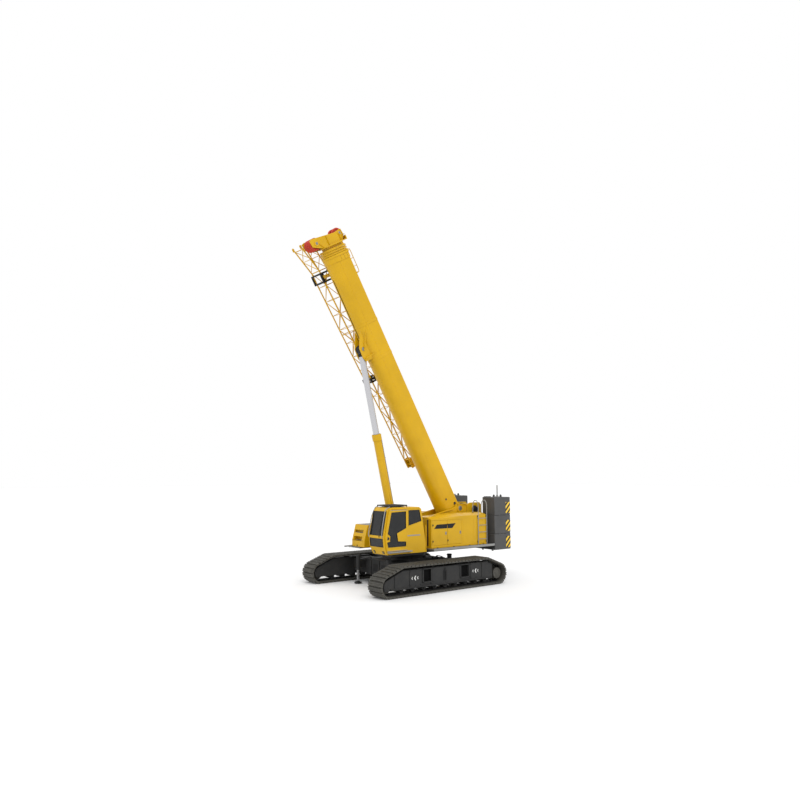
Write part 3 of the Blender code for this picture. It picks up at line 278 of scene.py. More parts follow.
YELLOW = paint("yellow_paint", srgb(210, 164, 4), srgb(186, 150, 50), srgb(150, 120, 44), dust=0.14, wear=0.3,
    radius=0.007, coat=0.03, gleam=0.3)
GREY = paint("undercarriage_paint", srgb(44, 44, 44), srgb(66, 64, 60), srgb(98, 96, 92), rough=0.5, dust=0.3,
    wear=0.45)
BALLAST = paint("counterweight_paint", srgb(78, 78, 78), srgb(98, 96, 92), srgb(126, 124, 120), rough=0.48,
    dust=0.25, wear=0.5, radius=0.02)
RED = paint("sheave_red", srgb(200, 66, 44), srgb(150, 96, 76), srgb(120, 110, 100), rough=0.4, wear=0.8)
# Dark paint for many real parts; on the hood's cooling slots and the counterweight recesses it is painted shade.
DARK_AND_SHADE = paint("dark_paint_and_shade", srgb(26, 26, 27), srgb(56, 54, 50), srgb(92, 90, 87), rough=0.5, dust=0.25, wear=0.35)
# Near-black matte: painted shade inside the hollow cross beams.
HOLLOW_SHADE = paint("hollow_shade_black", srgb(12, 12, 12), srgb(18, 18, 17), srgb(26, 26, 26), rough=0.85, dust=0.1,
    wear=0.05, gleam=0.1)
TRACK = steel("track_steel", srgb(78, 76, 70), srgb(134, 131, 124), rough=0.58, metallic=0.2, wear=0.5)
STEEL = steel("machined_steel", srgb(150, 150, 150), srgb(205, 205, 205), rough=0.35, metallic=0.8)
RAIL = paint("rail_grey", srgb(150, 150, 148), srgb(140, 134, 122), srgb(190, 188, 184), rough=0.42, dust=0.2)
CHROME = chrome("cylinder_chrome")
GLASS = glass("tinted_glass")
DECK = tread_plate("deck_tread_plate", srgb(120, 118, 114))
# Black rubber for seals and hoses; also the painted shade in the hood's front gap and the boom's side holes.
RUBBER_AND_SHADE = rubber("rubber_black_and_shade")
PLASTIC = rubber("cab_plastic", srgb(46, 46, 48), 0.5)
FABRIC = rubber("seat_cloth", srgb(34, 35, 38), 0.85)
HAZARD = hazard("hazard_bands")
ROPE = rope_steel("wire_rope")
LAMP = lens("lamp_clear", srgb(138, 126, 92))
WHITE = paint("white_mark", srgb(225, 225, 222), srgb(150, 146, 138), srgb(90, 90, 90), rough=0.5, dust=0.3)


# ------------------------------------------------------------------ geometry helper
class Piece:
    """Closed solids gathered in one mesh, which rides on one body."""

    def __init__(self, name, body, mat, bevel=0.006, segments=2, place=None, angle=32.0):
        self.name, self.body, self.mat = name, body, mat
        self.bevel, self.segments, self.angle = bevel, segments, angle
        self.place = place or Matrix.Identity(4)
        self.bm = bmesh.new()

    def verts(self, points):
        return [self.bm.verts.new(self.place @ Vector(p)) for p in points]

    def rings(self, rings, closed=False, caps=True):
        """Skin a list of rings that hold the same number of points."""
        loops = [self.verts(ring) for ring in rings]
        pairs = list(zip(loops, loops[1:]))
        if closed:
            pairs.append((loops[-1], loops[0]))
        made = []
        for first, second in pairs:
            for i in range(len(first)):
                made.append(self.bm.faces.new((first[i - 1], first[i], second[i], second[i - 1])))
        if caps and not closed:
            made.append(self.bm.faces.new(loops[0]))
            made.append(self.bm.faces.new(list(reversed(loops[-1]))))
        bmesh.ops.recalc_face_normals(self.bm, faces=made)
        return self

    def box(self, lo, hi):
        """A block between two opposite corners, in either order."""
        (x0, x1), (y0, y1), (z0, z1) = [sorted(pair) for pair in zip(lo, hi)]
        return self.rings([[(x0, y0, z), (x1, y0, z), (x1, y1, z), (x0, y1, z)] for z in (z0, z1)])

    def prism(self, outline, low, high, axis="y"):
        """An outline in XZ drawn along Y, or in YZ drawn along X, or in XY drawn along Z."""
        order = {"y": lambda p, q, t: (p, t, q), "x": lambda p, q, t: (t, p, q), "z": lambda p, q, t: (p, q, t)}[axis]
        return self.rings([[order(p, q, t) for p, q in outline] for t in sorted((low, high))])

    def cyl(self, a, b, radius, sides=24, end=None, chamfer=0.0):
        """A round bar; with a chamfer its rims are broken."""
        a, b = Vector(a), Vector(b)
        run = b - a
        turn = run.to_track_quat("Z", "Y")
        end = radius if end is None else end
        stops = [(0.0, radius), (run.length, end)]
        if chamfer:
            stops = [(0.0, radius - chamfer), (chamfer, radius), (run.length - chamfer, end),
                (run.length, end - chamfer)]
        rings = []
        for depth, r in stops:
            rings.append([a + turn @ Vector((r * cos(2 * pi * i / sides), r * sin(2 * pi * i / sides),
                depth)) for i in range(sides)])
        return self.rings(rings)

    def turned(self, centre, axis, profile, sides=36):
        """A profile of (radius, along axis) turned round the axis; both ends are closed."""
        turn = Vector(axis).to_track_quat("Z", "Y")
        centre = Vector(centre)
        rings = [[centre + turn @ Vector((r * cos(2 * pi * i / sides), r * sin(2 * pi * i / sides),
            t)) for i in range(sides)] for r, t in profile]
        return self.rings(rings)

    def tube(self, points, radius, sides=10, closed=False):
        """A round tube bent through the points."""
        points = [Vector(p) for p in points]
        count = len(points)
        rings = []
        normal = None
        for i, p in enumerate(points):
            before = points[i - 1] if i or closed else None
            after = points[(i + 1) % count] if i < count - 1 or closed else None
            d1 = (p - before).normalized() if before else (after - p).normalized()
            d2 = (after - p).normalized() if after else d1
            along = (d1 + d2).normalized()
            if normal is None:
                normal = along.orthogonal().normalized()
            normal = (normal - along * normal.dot(along)).normalized()
            side = along.cross(normal)
            stretch = 1.0 / max(0.5, along.dot(d1))
            reach = radius * min(stretch, 1.4)
            rings.append([p + (normal * cos(2 * pi * k / sides) + side * sin(2 * pi * k / sides)) * reach
                for k in range(sides)])
        return self.rings(rings, closed=closed)

    def bolts(self, centre, axis, circle, count, radius, height, start=0.0):
        """A ring of hexagon bolt heads round an axis."""
        turn = Vector(axis).to_track_quat("Z", "Y")
        centre = Vector(centre)
        for i in range(count):
            t = start + 2 * pi * i / count
            foot = centre + turn @ Vector((circle * cos(t), circle * sin(t), 0.0))
            self.cyl(foot, foot + turn @ Vector((0, 0, height)), radius, sides=6)
        return self

    def bolt(self, foot, axis, radius=0.014, height=0.012):
        foot = Vector(foot)
        return self.cyl(foot, foot + Vector(axis) * height, radius, sides=6)

    def done(self, *replaced):
        mesh = bpy.data.meshes.new(self.name)
        self.bm.to_mesh(mesh)
        self.bm.free()
        obj = bpy.data.objects.new(self.name, mesh)
        SCENE.collection.objects.link(obj)
        finish_object(obj, self.mat, self.body, self.bevel, self.segments, self.angle)
        if replaced:
            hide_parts(*replaced)
        return obj


def on_boom(name, body, mat, bevel=0.006, segments=2):
    """A piece drawn in the boom's frame."""
    return Piece(name, body, mat, bevel, segments, BOOM)


def finish_object(obj, mat, body, bevel, segments, angle):
    """Material, soft edges, smooth shading and body."""
    obj.data.materials.clear()
    obj.data.materials.append(mat)
    if bevel:
        mod = obj.modifiers.new("edges", "BEVEL")
        mod.width = bevel
        mod.segments = segments
        mod.limit_method = "ANGLE"
        mod.angle_limit = radians(angle)
        mod.use_clamp_overlap = True
    obj.data.shade_smooth()
    obj.data.set_sharp_from_angle(angle=radians(38))
    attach(obj, body)


def softened(node, mat, body, bevel=0.012, segments=2, angle=32.0):
    """The CAD node's own shape with its edges rounded, in place of the node."""
    source = NODES[node]
    mesh = source.data.copy()
    bm = bmesh.new()
    bm.from_mesh(mesh)
    bmesh.ops.remove_doubles(bm, verts=bm.verts, dist=0.00005)
    bmesh.ops.dissolve_limit(bm, angle_limit=radians(1.0), verts=bm.verts, edges=bm.edges)
    bm.to_mesh(mesh)
    bm.free()
    obj = bpy.data.objects.new(node + "_skin", mesh)
    SCENE.collection.objects.link(obj)
    finish_object(obj, mat, body, bevel, segments, angle)
    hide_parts(node)
    return obj


def arc(cx, cz, radius, start, end, count):
    return [(cx + radius * cos(start + (end - start) * i / count),
        cz + radius * sin(start + (end - start) * i / count)) for i in range(count + 1)]


def lerp(a, b, t):
    return a + (b - a) * t


# ------------------------------------------------------------------ crawlers
TRACK_HALF, END_R, TRACK_TOP, TOP_RUN = 3.6, 0.477, 1.236, 2.45
GROUSER, SHOES, SHOE_W, TRACK_Y = 0.03, 76, 0.92, 2.545
FRAME_HALF, BEAM_X = 0.33, 1.07                   # half the side frame's width; cross beams at +X and -X


def track_path(offset, steps):
    radius, end_x = END_R - offset, TRACK_HALF - END_R
    rise, run = TRACK_TOP - offset - END_R, TRACK_HALF - END_R - TOP_RUN
    ratio = radius / hypot(run, rise)
    lean = atan2(rise, run) + atan2(sqrt(1 - ratio * ratio), ratio)
    front = arc(end_x, END_R, radius, -pi / 2, pi - lean, steps)
    rear = [(-x, z) for x, z in reversed(front)]
    return front + [(TOP_RUN, TRACK_TOP - offset), (-TOP_RUN, TRACK_TOP - offset)] + rear


def even_points(path, count, shift=0.0):
    closed = path + path[:1]
    lengths = [hypot(b[0] - a[0], b[1] - a[1]) for a, b in zip(closed, closed[1:])]
    total = sum(lengths)
    out = []
    for i in range(count):
        target = (i + shift) * total / count
        leg = 0
        while target > lengths[leg]:
            target -= lengths[leg]
            leg += 1
        a, b = closed[leg], closed[leg + 1]
        t = target / lengths[leg]
        dx, dz = (b[0] - a[0]) / lengths[leg], (b[1] - a[1]) / lengths[leg]
        out.append((lerp(a[0], b[0], t), lerp(a[1], b[1], t), dz, -dx))
    return out, total / count


def track_loop(side, word, body):
    mid = side * TRACK_Y
    piece = Piece(f"track_shoes_{word}", body, TRACK, bevel=0.0)
    places, pitch = even_points(track_path(GROUSER, 60), SHOES)
    h = pitch / 2 - 0.004
    profile = [(-0.074, -0.01), (-0.066, 0.029), (-0.04, 0.029), (-0.026, 0.008), (0.026, 0.008), (0.04, 0.029),
        (0.066, 0.029), (0.074, -0.01), (0.084, -0.042), (h, -0.046), (h, -0.06), (-h, -0.06), (-h, -0.046),
        (-0.084, -0.042)]
    for x, z, nx, nz in places:
        tx, tz = -nz, nx
        outline = [(x + tx * t + nx * n, z + tz * t + nz * n) for t, n in profile]
        edge = [(x + tx * t * 0.96 + nx * n * 0.8, z + tz * t * 0.96 + nz * n * 0.8) for t, n in profile]
        ys = (mid - SHOE_W / 2, mid - SHOE_W / 2 + 0.02, mid + SHOE_W / 2 - 0.02, mid + SHOE_W / 2)
        piece.rings([[(p, y, q) for p, q in (edge if k in (0, 3) else outline)] for k, y in enumerate(ys)])
        for dy in (-0.33, -0.24, 0.24, 0.33):
            foot = Vector((x + nx * 0.007, mid + dy, z + nz * 0.007))
            piece.cyl(foot, foot + Vector((nx, 0, nz)) * 0.012, 0.014, sides=6)
    piece.done(f"track_loop_{word}")
    chain = Piece(f"track_chain_{word}", body, DARK_AND_SHADE, bevel=0.0)
    for x, z, nx, nz in places:
        tx, tz = -nz, nx
        for s in (-1, 1):
            y0, y1 = sorted((mid + s * 0.085, mid + s * 0.125))
            link = [(-h - 0.006, -0.058), (h - 0.004, -0.058), (h - 0.018, -0.104), (-h + 0.01, -0.104)]
            chain.prism([(x + tx * t + nx * n, z + tz * t + nz * n) for t, n in link], y0, y1)
    pins, _ = even_points(track_path(GROUSER + 0.08, 60), SHOES, 0.5)
    for x, z, nx, nz in pins:
        chain.cyl((x, mid - 0.14, z), (x, mid + 0.14, z), 0.02, sides=8)
    chain.done()


def track_frame(side, word, body):
    softened(f"track_frame_{word}", GREY, body, bevel=0.008, segments=1, angle=40)
    mid = side * TRACK_Y
    out = mid + side * FRAME_HALF                       # outer face of the frame
    trim = Piece(f"track_frame_trim_{word}", body, GREY, bevel=0.006)

    def skin(outline, depth=0.022, base=0.0):
        trim.prism(outline, out + side * base, out + side * (base + depth))

    for x0, x1 in ((2.06, 1.44), (0.9, -0.74), (-1.4, -2.06)):
        skin([(x0, 0.36), (x1, 0.36), (x1, 1.035), (x0, 1.035)])
    end_x = TRACK_HALF - END_R
    cheek = arc(end_x, END_R, 0.255, radians(-27), radians(66), 8)
    skin([(2.88, 0.36)] + cheek + [(2.88, 0.86)], 0.016)
    skin([(2.84, 0.36), (2.1, 0.36), (2.1, 1.03), (2.42, 1.03), (2.84, 0.875)])
    skin([(-2.74, 0.36), (-2.1, 0.36), (-2.1, 1.03), (-2.42, 1.03), (-2.74, 0.9)])
    trim.prism([(out, 0.318), (out + side * 0.085, 0.318), (out + side * 0.085, 0.335), (out, 0.385)], -2.7, 3.05,
        axis="x")
    trim.turned((end_x, mid, END_R), (0, side, 0), [(0.04, 0.325), (0.085, 0.325), (0.085, 0.352), (0.07, 0.362),
        (0.03, 0.362)], 32)
    for x in (BEAM_X, -BEAM_X):                       # frames round the cross-beam openings
        for x0, x1, z0, z1 in ((x - 0.3, x - 0.235, 0.46, 1.035), (x + 0.235, x + 0.3, 0.46, 1.035),
                (x - 0.3, x + 0.3, 1.0, 1.04), (x - 0.3, x + 0.3, 0.455, 0.5)):
            trim.box((x0, out, z0), (x1, out + side * 0.03, z1))
    trim.done()
    bits = Piece(f"track_frame_bolts_{word}", body, DARK_AND_SHADE, bevel=0.0)
    face = out + side * 0.022
    for x0, x1 in ((2.06, 1.44), (0.9, -0.74), (-1.4, -2.06)):
        for x in (x0 - 0.05, (x0 + x1) / 2, x1 + 0.05):
            for z in (0.41, 0.985):
                bits.bolt((x, face, z), (0, side, 0), 0.017, 0.012)
    for k in range(9):                            # hub caps of the bottom rollers
        bits.turned((0.6 * k - 2.4, mid, 0.26), (0, side, 0), [(0.02, -0.275), (0.062, -0.27), (0.062, 0.27),
            (0.045, 0.29), (0.02, 0.292)], 16)
    for x in (1.45, 0.0, -1.45):                  # posts of the carrier rollers
        bits.box((x - 0.07, mid - 0.1, 1.03), (x + 0.07, mid + 0.1, TRACK_TOP - 0.235))
    bits.done()
    handle = Piece(f"track_frame_handle_{word}", body, DARK_AND_SHADE, bevel=0.004)
    y = out + side * 0.022
    handle.box((0.02, y, 0.46), (0.2, y + side * 0.02, 0.9))
    handle.tube([(0.11, y, 0.5), (0.11, y + side * 0.06, 0.53), (0.11, y + side * 0.06, 0.82), (0.11, y, 0.86)], 0.018)
    handle.turned((0.11, y, 0.94), (0, side, 0), [(0.02, 0.0), (0.045, 0.0), (0.045, 0.02), (0.02, 0.024)], 20)
    handle.done()
    marks = Piece(f"track_chevrons_{word}", body, WHITE, bevel=0.0)
    for cx, tall in ((1.93, 0.055), (1.77, 0.09), (1.63, 0.055), (-1.55, 0.055), (-1.71, 0.09), (-1.85, 0.055)):
        w, cz = tall * 0.62, 0.7
        chevron = [(cx + w, cz), (cx, cz + tall), (cx - w, cz + tall), (cx, cz), (cx - w, cz - tall), (cx, cz - tall)]
        marks.prism(chevron, face - side * 0.001, face + side * 0.0025)
    marks.done()


def wheels(side, word, body):
    mid = side * TRACK_Y
    end_x = TRACK_HALF - END_R
    idler = Piece(f"idler_wheel_{word}", body, TRACK, bevel=0.004)
    rim = [(0.08, -0.093), (0.17, -0.093), (0.17, -0.045), (0.235, -0.035), (0.235, -0.078), (0.314, -0.078),
        (0.316, -0.03), (0.316, 0.03), (0.314, 0.078), (0.235, 0.078), (0.235, 0.035), (0.17, 0.045), (0.17, 0.093),
        (0.08, 0.093)]
    idler.turned((end_x, mid, END_R), (0, side, 0), rim, 40)
    idler.done(f"idler_{word}")
    drive = Piece(f"sprocket_wheel_{word}", body, TRACK, bevel=0.004)
    teeth = []
    for i in range(15):
        t = 2 * pi * i / 15
        for dt, r in ((-0.13, 0.262), (-0.055, 0.312), (0.055, 0.312), (0.13, 0.262)):
            teeth.append((-end_x + r * cos(t + dt), END_R + r * sin(t + dt)))
    drive.prism(teeth, mid - 0.035, mid + 0.035)
    drive.turned((-end_x, mid, END_R), (0, side, 0), [(0.05, -0.3), (0.12, -0.3), (0.17, -0.2), (0.215, -0.05),
        (0.215, 0.08), (0.25, 0.1), (0.25, 0.285), (0.238, 0.298), (0.1, 0.3), (0.09, 0.31), (0.04, 0.31)], 48)
    drive.bolts((-end_x, mid + side * 0.298, END_R), (0, side, 0), 0.215, 18, 0.011, 0.01)
    drive.bolts((-end_x, mid + side * 0.299, END_R), (0, side, 0), 0.135, 8, 0.01, 0.008)
    drive.done(f"sprocket_{word}")


for side, word in ((1, "left"), (-1, "right")):
    track_loop(side, word, f"{word}_crawler")
    track_frame(side, word, f"{word}_crawler")
    wheels(side, word, f"{word}_crawler")


# ------------------------------------------------------------------ carbody, ring and jacks
softened("carbody", GREY, "undercarriage", bevel=0.01, segments=1, angle=50)
ring = Piece("slewing_bearing", "undercarriage", DARK_AND_SHADE, bevel=0.004)
ring.turned((0, 0, 1.19), (0, 0, 1), [(0.9, 0.001), (1.0, 0.001), (1.0, 0.05), (0.94, 0.055), (0.94, 0.125),
    (0.965, 0.13), (0.965, 0.203), (0.9, 0.203)], 64)
ring.bolts((0, 0, 1.241), (0, 0, 1), 0.972, 44, 0.013, 0.016)
ring.done("slew_ring")
body_trim = Piece("carbody_trim", "undercarriage", GREY, bevel=0.006)
for sx in (1, -1):
    for sy in (1, -1):
        x = sx * BEAM_X
        for z0, z1 in ((0.43, 0.475), (1.025, 1.07)):         # flanges at the sleeves' mouths
            body_trim.box((x - 0.305, sy * 1.6, z0), (x + 0.305, sy * 1.66, z1))
        for x0, x1 in ((x - 0.305, x - 0.262), (x + 0.262, x + 0.305)):
            body_trim.box((x0, sy * 1.6, 0.43), (x1, sy * 1.66, 1.07))
        body_trim.prism([(sx * 0.8, 1.13), (sx * 1.4, 1.13), (sx * 1.4, 1.06), (sx * 0.8, 1.06)], sy * 1.0, sy * 1.5)
    for y in (-0.6, 0.0, 0.6):                              # ribs on the end faces
        body_trim.box((sx * 1.41, y - 0.02, 0.44), (sx * 1.455, y + 0.02, 1.12))
    body_trim.box((sx * 1.41, -1.0, 1.1), (sx * 1.46, 1.0, 1.135))
body_trim.done()
covers = Piece("carbody_covers", "undercarriage", DARK_AND_SHADE, bevel=0.005)
for sx in (1, -1):
    for y in (-0.3, 0.3):
        covers.box((sx * 1.42, y - 0.16, 0.6), (sx * 1.432, y + 0.16, 0.92))
        for dy in (-0.13, 0.13):
            for z in (0.63, 0.89):
                covers.bolt((sx * 1.432, y + dy, z), (sx, 0, 0), 0.012, 0.01)
covers.done()
# Near-black sheets in the sleeves' mouths: painted shade inside the hollow cross beams.
ends = Piece("cross_beam_end_shade", "undercarriage", HOLLOW_SHADE, bevel=0.003)
for x in (BEAM_X, -BEAM_X):
    for sy in (1, -1):
        ends.box((x - 0.205, sy * 2.8, 0.525), (x + 0.205, sy * 2.812, 0.995))
ends.done()
hoses = Piece("carbody_hoses", "undercarriage", RUBBER_AND_SHADE, bevel=0.0)
for sx in (1, -1):
    for sy in (1, -1):
        for k in range(2):
            y = sy * (0.72 + 0.06 * k)
            hoses.tube([(sx * 1.3, y, 1.145), (sx * 1.38, y, 1.19), (sx * 1.52, y + sy * 0.05, 1.16),
                (sx * 1.6, y + sy * 0.18, 1.1), (sx * 1.66, sy * 1.08, 1.06)], 0.016, 8)
hoses.done()
JACK_X, JACK_Y = 1.77, 1.14
for word, jx, jy in [(f"{end}_{hand}", sx * JACK_X, sy * JACK_Y)
        for end, sx in (("front", 1), ("rear", -1)) for hand, sy in (("left", 1), ("right", -1))]:
    caps = Piece(f"jack_collar_{word}", "undercarriage", GREY, bevel=0.004)
    caps.turned((jx, jy, 0.62), (0, 0, 1), [(0.08, -0.001), (0.128, 0.0), (0.128, 0.06), (0.112, 0.07),
        (0.106, 0.07), (0.08, 0.068)], 28)
    caps.turned((jx, jy, 1.21), (0, 0, 1), [(0.1, 0.0), (0.12, 0.005), (0.12, 0.055), (0.06, 0.068), (0.02, 0.069)], 28)
    caps.done()
    foot = Piece(f"jack_foot_{word}", f"jack_{word}", DARK_AND_SHADE, bevel=0.003)
    foot.turned((jx, jy, 0.04), (0, 0, 1), [(0.1, 0.0), (0.18, 0.0), (0.18, 0.018), (0.165, 0.032), (0.085, 0.045),
        (0.075, 0.085), (0.05, 0.1)], 32)
    foot.done(f"jack_{word}")
    Piece(f"jack_rod_{word}", f"jack_{word}", STEEL, bevel=0.0).cyl((jx, jy, 0.12), (jx, jy, 0.92), 0.068, 28,
        chamfer=0.006).done()


# ------------------------------------------------------------------ turntable, decks and pivot frame
S = "superstructure"
softened("turntable", GREY, S, bevel=0.01, angle=50)
for word in ("left", "right"):
    softened(f"deck_{word}", DECK, S, bevel=0.008)
softened("pivot_frame", YELLOW, S, bevel=0.008)
edge = Piece("deck_edges", S, RAIL, bevel=0.004)
edge.box((-4.02, 1.858, 1.56), (-0.18, 1.88, 1.662))
edge.box((-4.02, -1.88, 1.56), (1.8, -1.858, 1.662))
for x in (-3.6, -3.0, -2.4, -1.8, -1.2, -0.6):
    for s in (1, -1):
        y0, y1 = sorted((s * 0.99, s * 1.86))
        edge.prism([(y0, 1.574), (y1, 1.574), (y1, 1.556) if s > 0 else (y1, 1.5),
            (y0, 1.5) if s > 0 else (y0, 1.556)], x - 0.02, x + 0.02, axis="x")
edge.done()
pins = Piece("pivot_pins", S, STEEL, bevel=0.004)
for s in (1, -1):
    pins.turned((PIVOT_X, s * 0.531, PIVOT_Z), (0, s, 0), [(0.04, -0.01), (0.115, -0.01), (0.115, 0.035),
        (0.1, 0.045), (0.03, 0.045)], 32)
    pins.bolts((PIVOT_X, s * 0.572, PIVOT_Z), (0, s, 0), 0.075, 6, 0.012, 0.012)
    pins.turned((FOOT_X, s * 0.254, FOOT_Z), (0, s, 0), [(0.03, -0.01), (0.085, -0.01), (0.085, 0.02),
        (0.02, 0.028)], 28)
pins.done()
web = Piece("pivot_frame_ribs", S, YELLOW, bevel=0.005)
for s in (1, -1):
    y0, y1 = sorted((s * 0.53, s * 0.585))
    web.prism([(-0.815, 2.9), (-0.815, 2.937), (-2.56, 3.295), (-2.56, 3.258)], y0, y1)
    web.prism([(0.2, 2.315), (0.2, 2.35), (-0.815, 2.937), (-0.815, 2.9)], y0, y1)
    web.prism([(-2.86, 3.475), (-2.86, 3.51), (-3.47, 3.51), (-3.47, 3.475)], y0, y1)
    for x in (-0.55, 0.35):
        web.box((x - 0.015, y0, 1.66), (x + 0.015, y1, 2.2 if x > 0 else 2.72))
    ring_profile = [(0.125, 0.0), (0.205, 0.0), (0.205, 0.028), (0.125, 0.028)]
    web.turned((PIVOT_X, s * 0.53, PIVOT_Z), (0, s, 0), ring_profile, 36)
web.box((-2.84, -0.465, 3.4), (-2.8, 0.465, 3.5))
web.done()


# ------------------------------------------------------------------ cab
CAB_SIDE = 1.604                                  # the shell's left face, behind the door's path
softened("cab_shell", YELLOW, S, bevel=0.01, segments=3, angle=25)
softened("cab_door", YELLOW, "cab_door", bevel=0.006, segments=2, angle=25)
for pane in ("side_window", "right_window", "rear_window", "windshield", "lower_windshield", "door_window"):
    NODES[pane].data.materials.clear()
    NODES[pane].data.materials.append(GLASS)
DOOR_WINDOW = [(2.026, 3.302), (1.245, 3.33), (1.24, 2.625), (1.743, 2.427), (1.677, 2.074), (1.24, 2.043),
    (1.24, 1.861), (2.195, 1.86), (2.255, 2.059), (2.099, 2.087), (2.089, 2.324), (2.22, 2.423)]
SIDE_WINDOW = [(1.049, 3.366), (0.444, 3.372), (0.336, 2.894), (1.05, 2.727)]
RIGHT_WINDOW = [(0.6, 2.3), (2.05, 2.3), (1.98, 3.3), (0.62, 3.34)]


def front_x(z):
    points = [(1.87, 2.395), (2.3, 2.44), (3.36, 2.225)]
    for (z0, x0), (z1, x1) in zip(points, points[1:]):
        if z <= z1:
            return lerp(x0, x1, (z - z0) / (z1 - z0))
    return points[-1][1]


def rear_x(z):
    return 0.01 + (z - 1.53) / (3.41 - 1.53) * 0.32


Piece("door_window_seal", "cab_door", RUBBER_AND_SHADE, bevel=0.0).tube([(x, 1.6475, z) for x, z in DOOR_WINDOW], 0.011, 8,
    closed=True).done()
grip = Piece("door_handle", "cab_door", PLASTIC, bevel=0.004)
grip.box((2.165, 1.648, 2.165), (2.25, 1.656, 2.285))
grip.tube([(2.185, 1.655, 2.185), (2.185, 1.69, 2.195), (2.19, 1.69, 2.255), (2.19, 1.655, 2.265)], 0.009, 8)
grip.done()
runner = Piece("door_runners", "cab_door", RAIL, bevel=0.002)
runner.box((1.17, 1.6105, 1.682), (2.25, 1.652, 1.704))
runner.box((1.16, 1.649, 3.385), (2.09, 1.656, 3.405))
runner.done()
seals = Piece("cab_seals", S, RUBBER_AND_SHADE, bevel=0.0)
seals.tube([(x, CAB_SIDE + 0.001, z) for x, z in SIDE_WINDOW], 0.0105, 8, closed=True)
seals.tube([(x, 0.59, z) for x, z in RIGHT_WINDOW], 0.012, 8, closed=True)
for z0, z1 in ((2.345, 3.345), (1.87, 2.215)):
    ys = (0.645, 1.549)
    loop = [(front_x(z0), ys[0], z0), (front_x(z1), ys[0], z1), (front_x(z1), ys[1], z1), (front_x(z0), ys[1], z0)]
    seals.tube(loop, 0.012, 8, closed=True)
loop = [(rear_x(z), y, z) for z, y in ((2.62, 0.725), (3.3, 0.725), (3.3, 1.469), (2.62, 1.469))]
seals.tube(loop, 0.012, 8, closed=True)
seals.done()
Piece("cab_door_rail", S, RAIL, bevel=0.001).box((0.393, 1.6035, 2.262), (1.146, 1.6088, 2.312)).done()
step = Piece("cab_step", S, RAIL, bevel=0.005)
step.box((0.931, 1.6, 1.612), (2.213, 1.735, 1.66))
for x in (1.05, 1.57, 2.09):
    step.prism([(1.602, 1.615), (1.715, 1.615), (1.602, 1.56)], x - 0.012, x + 0.012, axis="x")
step.done()
wiper = Piece("cab_wiper", S, RUBBER_AND_SHADE, bevel=0.0)


def on_front(y, z, off=0.022):
    return (front_x(z) + off, y, z)


wiper.cyl((front_x(2.3) - 0.01, 1.34, 2.3), (front_x(2.3) + 0.04, 1.34, 2.3), 0.022, 16)
wiper.tube([on_front(1.34, 2.3, 0.03), on_front(1.335, 2.6, 0.034), on_front(1.325, 2.86, 0.028)], 0.008, 8)
wiper.tube([on_front(1.335, 2.52, 0.015), on_front(1.322, 2.86, 0.015), on_front(1.305, 3.22, 0.015)], 0.009, 6)
wiper.done()
guard = Piece("windshield_guard", S, RAIL, bevel=0.0)
guard.tube([(2.02, 0.63, 3.545), (2.13, 0.62, 3.5), (2.235, 0.62, 3.33), (2.327, 0.62, 3.13), (2.42, 0.62, 2.75),
    (2.489, 0.62, 2.37), (2.47, 0.62, 2.27), (2.42, 0.64, 2.26)], 0.017, 10)
guard.tube([(2.05, 1.565, 3.545), (2.2, 1.57, 3.505), (2.316, 1.575, 3.406), (2.4, 1.575, 3.05),
    (2.47, 1.575, 2.68), (2.5, 1.575, 2.33), (2.47, 1.57, 2.27), (2.42, 1.56, 2.26)], 0.017, 10)
guard.done()
roof = Piece("roof_guard_frame", S, GREY, bevel=0.004)
low, high = 3.562, 3.614
for x0, x1, y0, y1 in ((1.1, 1.13, 0.66, 1.58), (2.03, 2.06, 0.66, 1.58), (1.1, 2.06, 0.66, 0.69),
        (1.1, 2.06, 1.55, 1.58)):
    roof.box((x0, y0, low), (x1, y1, high))
for k in range(11):
    x = 1.165 + 0.083 * k
    roof.box((x - 0.024, 0.68, high - 0.022), (x + 0.024, 1.56, high - 0.01))
for x in (1.12, 1.55, 2.03):
    for y in (0.68, 1.56):
        roof.cyl((x, y, 3.498), (x, y, high - 0.01), 0.016, 8)
roof.done("roof_guard")
Piece("cab_roof_hatch", S, GREY, bevel=0.01, segments=3).box((1.18, 0.8, 3.505), (1.92, 1.44, 3.54)).done()
gutter = Piece("cab_trim", S, YELLOW, bevel=0.006)
gutter.box((0.45, 1.59, 3.432), (1.98, 1.622, 3.462))
gutter.prism([(front_x(2.345) + 0.001, 2.345), (front_x(2.215) + 0.001, 2.215), (front_x(2.215) + 0.022, 2.235),
    (front_x(2.345) + 0.02, 2.325)], 0.62, 1.58)
gutter.box((0.03, 0.585, 1.545), (2.19, 0.6, 1.62))
gutter.done()
apron = Piece("apron_lamps", S, LAMP, bevel=0.003)
frames = Piece("apron_lamp_frames", S, DARK_AND_SHADE, bevel=0.003)
tilt = Matrix.Translation((2.265, 0, 1.63)) @ Matrix.Rotation(atan2(0.19, 0.35), 4, "Y")
for y in (0.77, 1.4):
    for piece, w, h, d0, d1 in ((frames, 0.055, 0.06, -0.01, 0.016), (apron, 0.042, 0.046, 0.0, 0.021)):
        piece.place = tilt
        piece.box((d0, y - w, -h), (d1, y + w, h))
apron.done()
frames.done()
Piece("cab_hinge_cover", S, YELLOW, bevel=0.006).box((0.045, 1.6, 1.6), (0.085, 1.622, 2.7)).done()

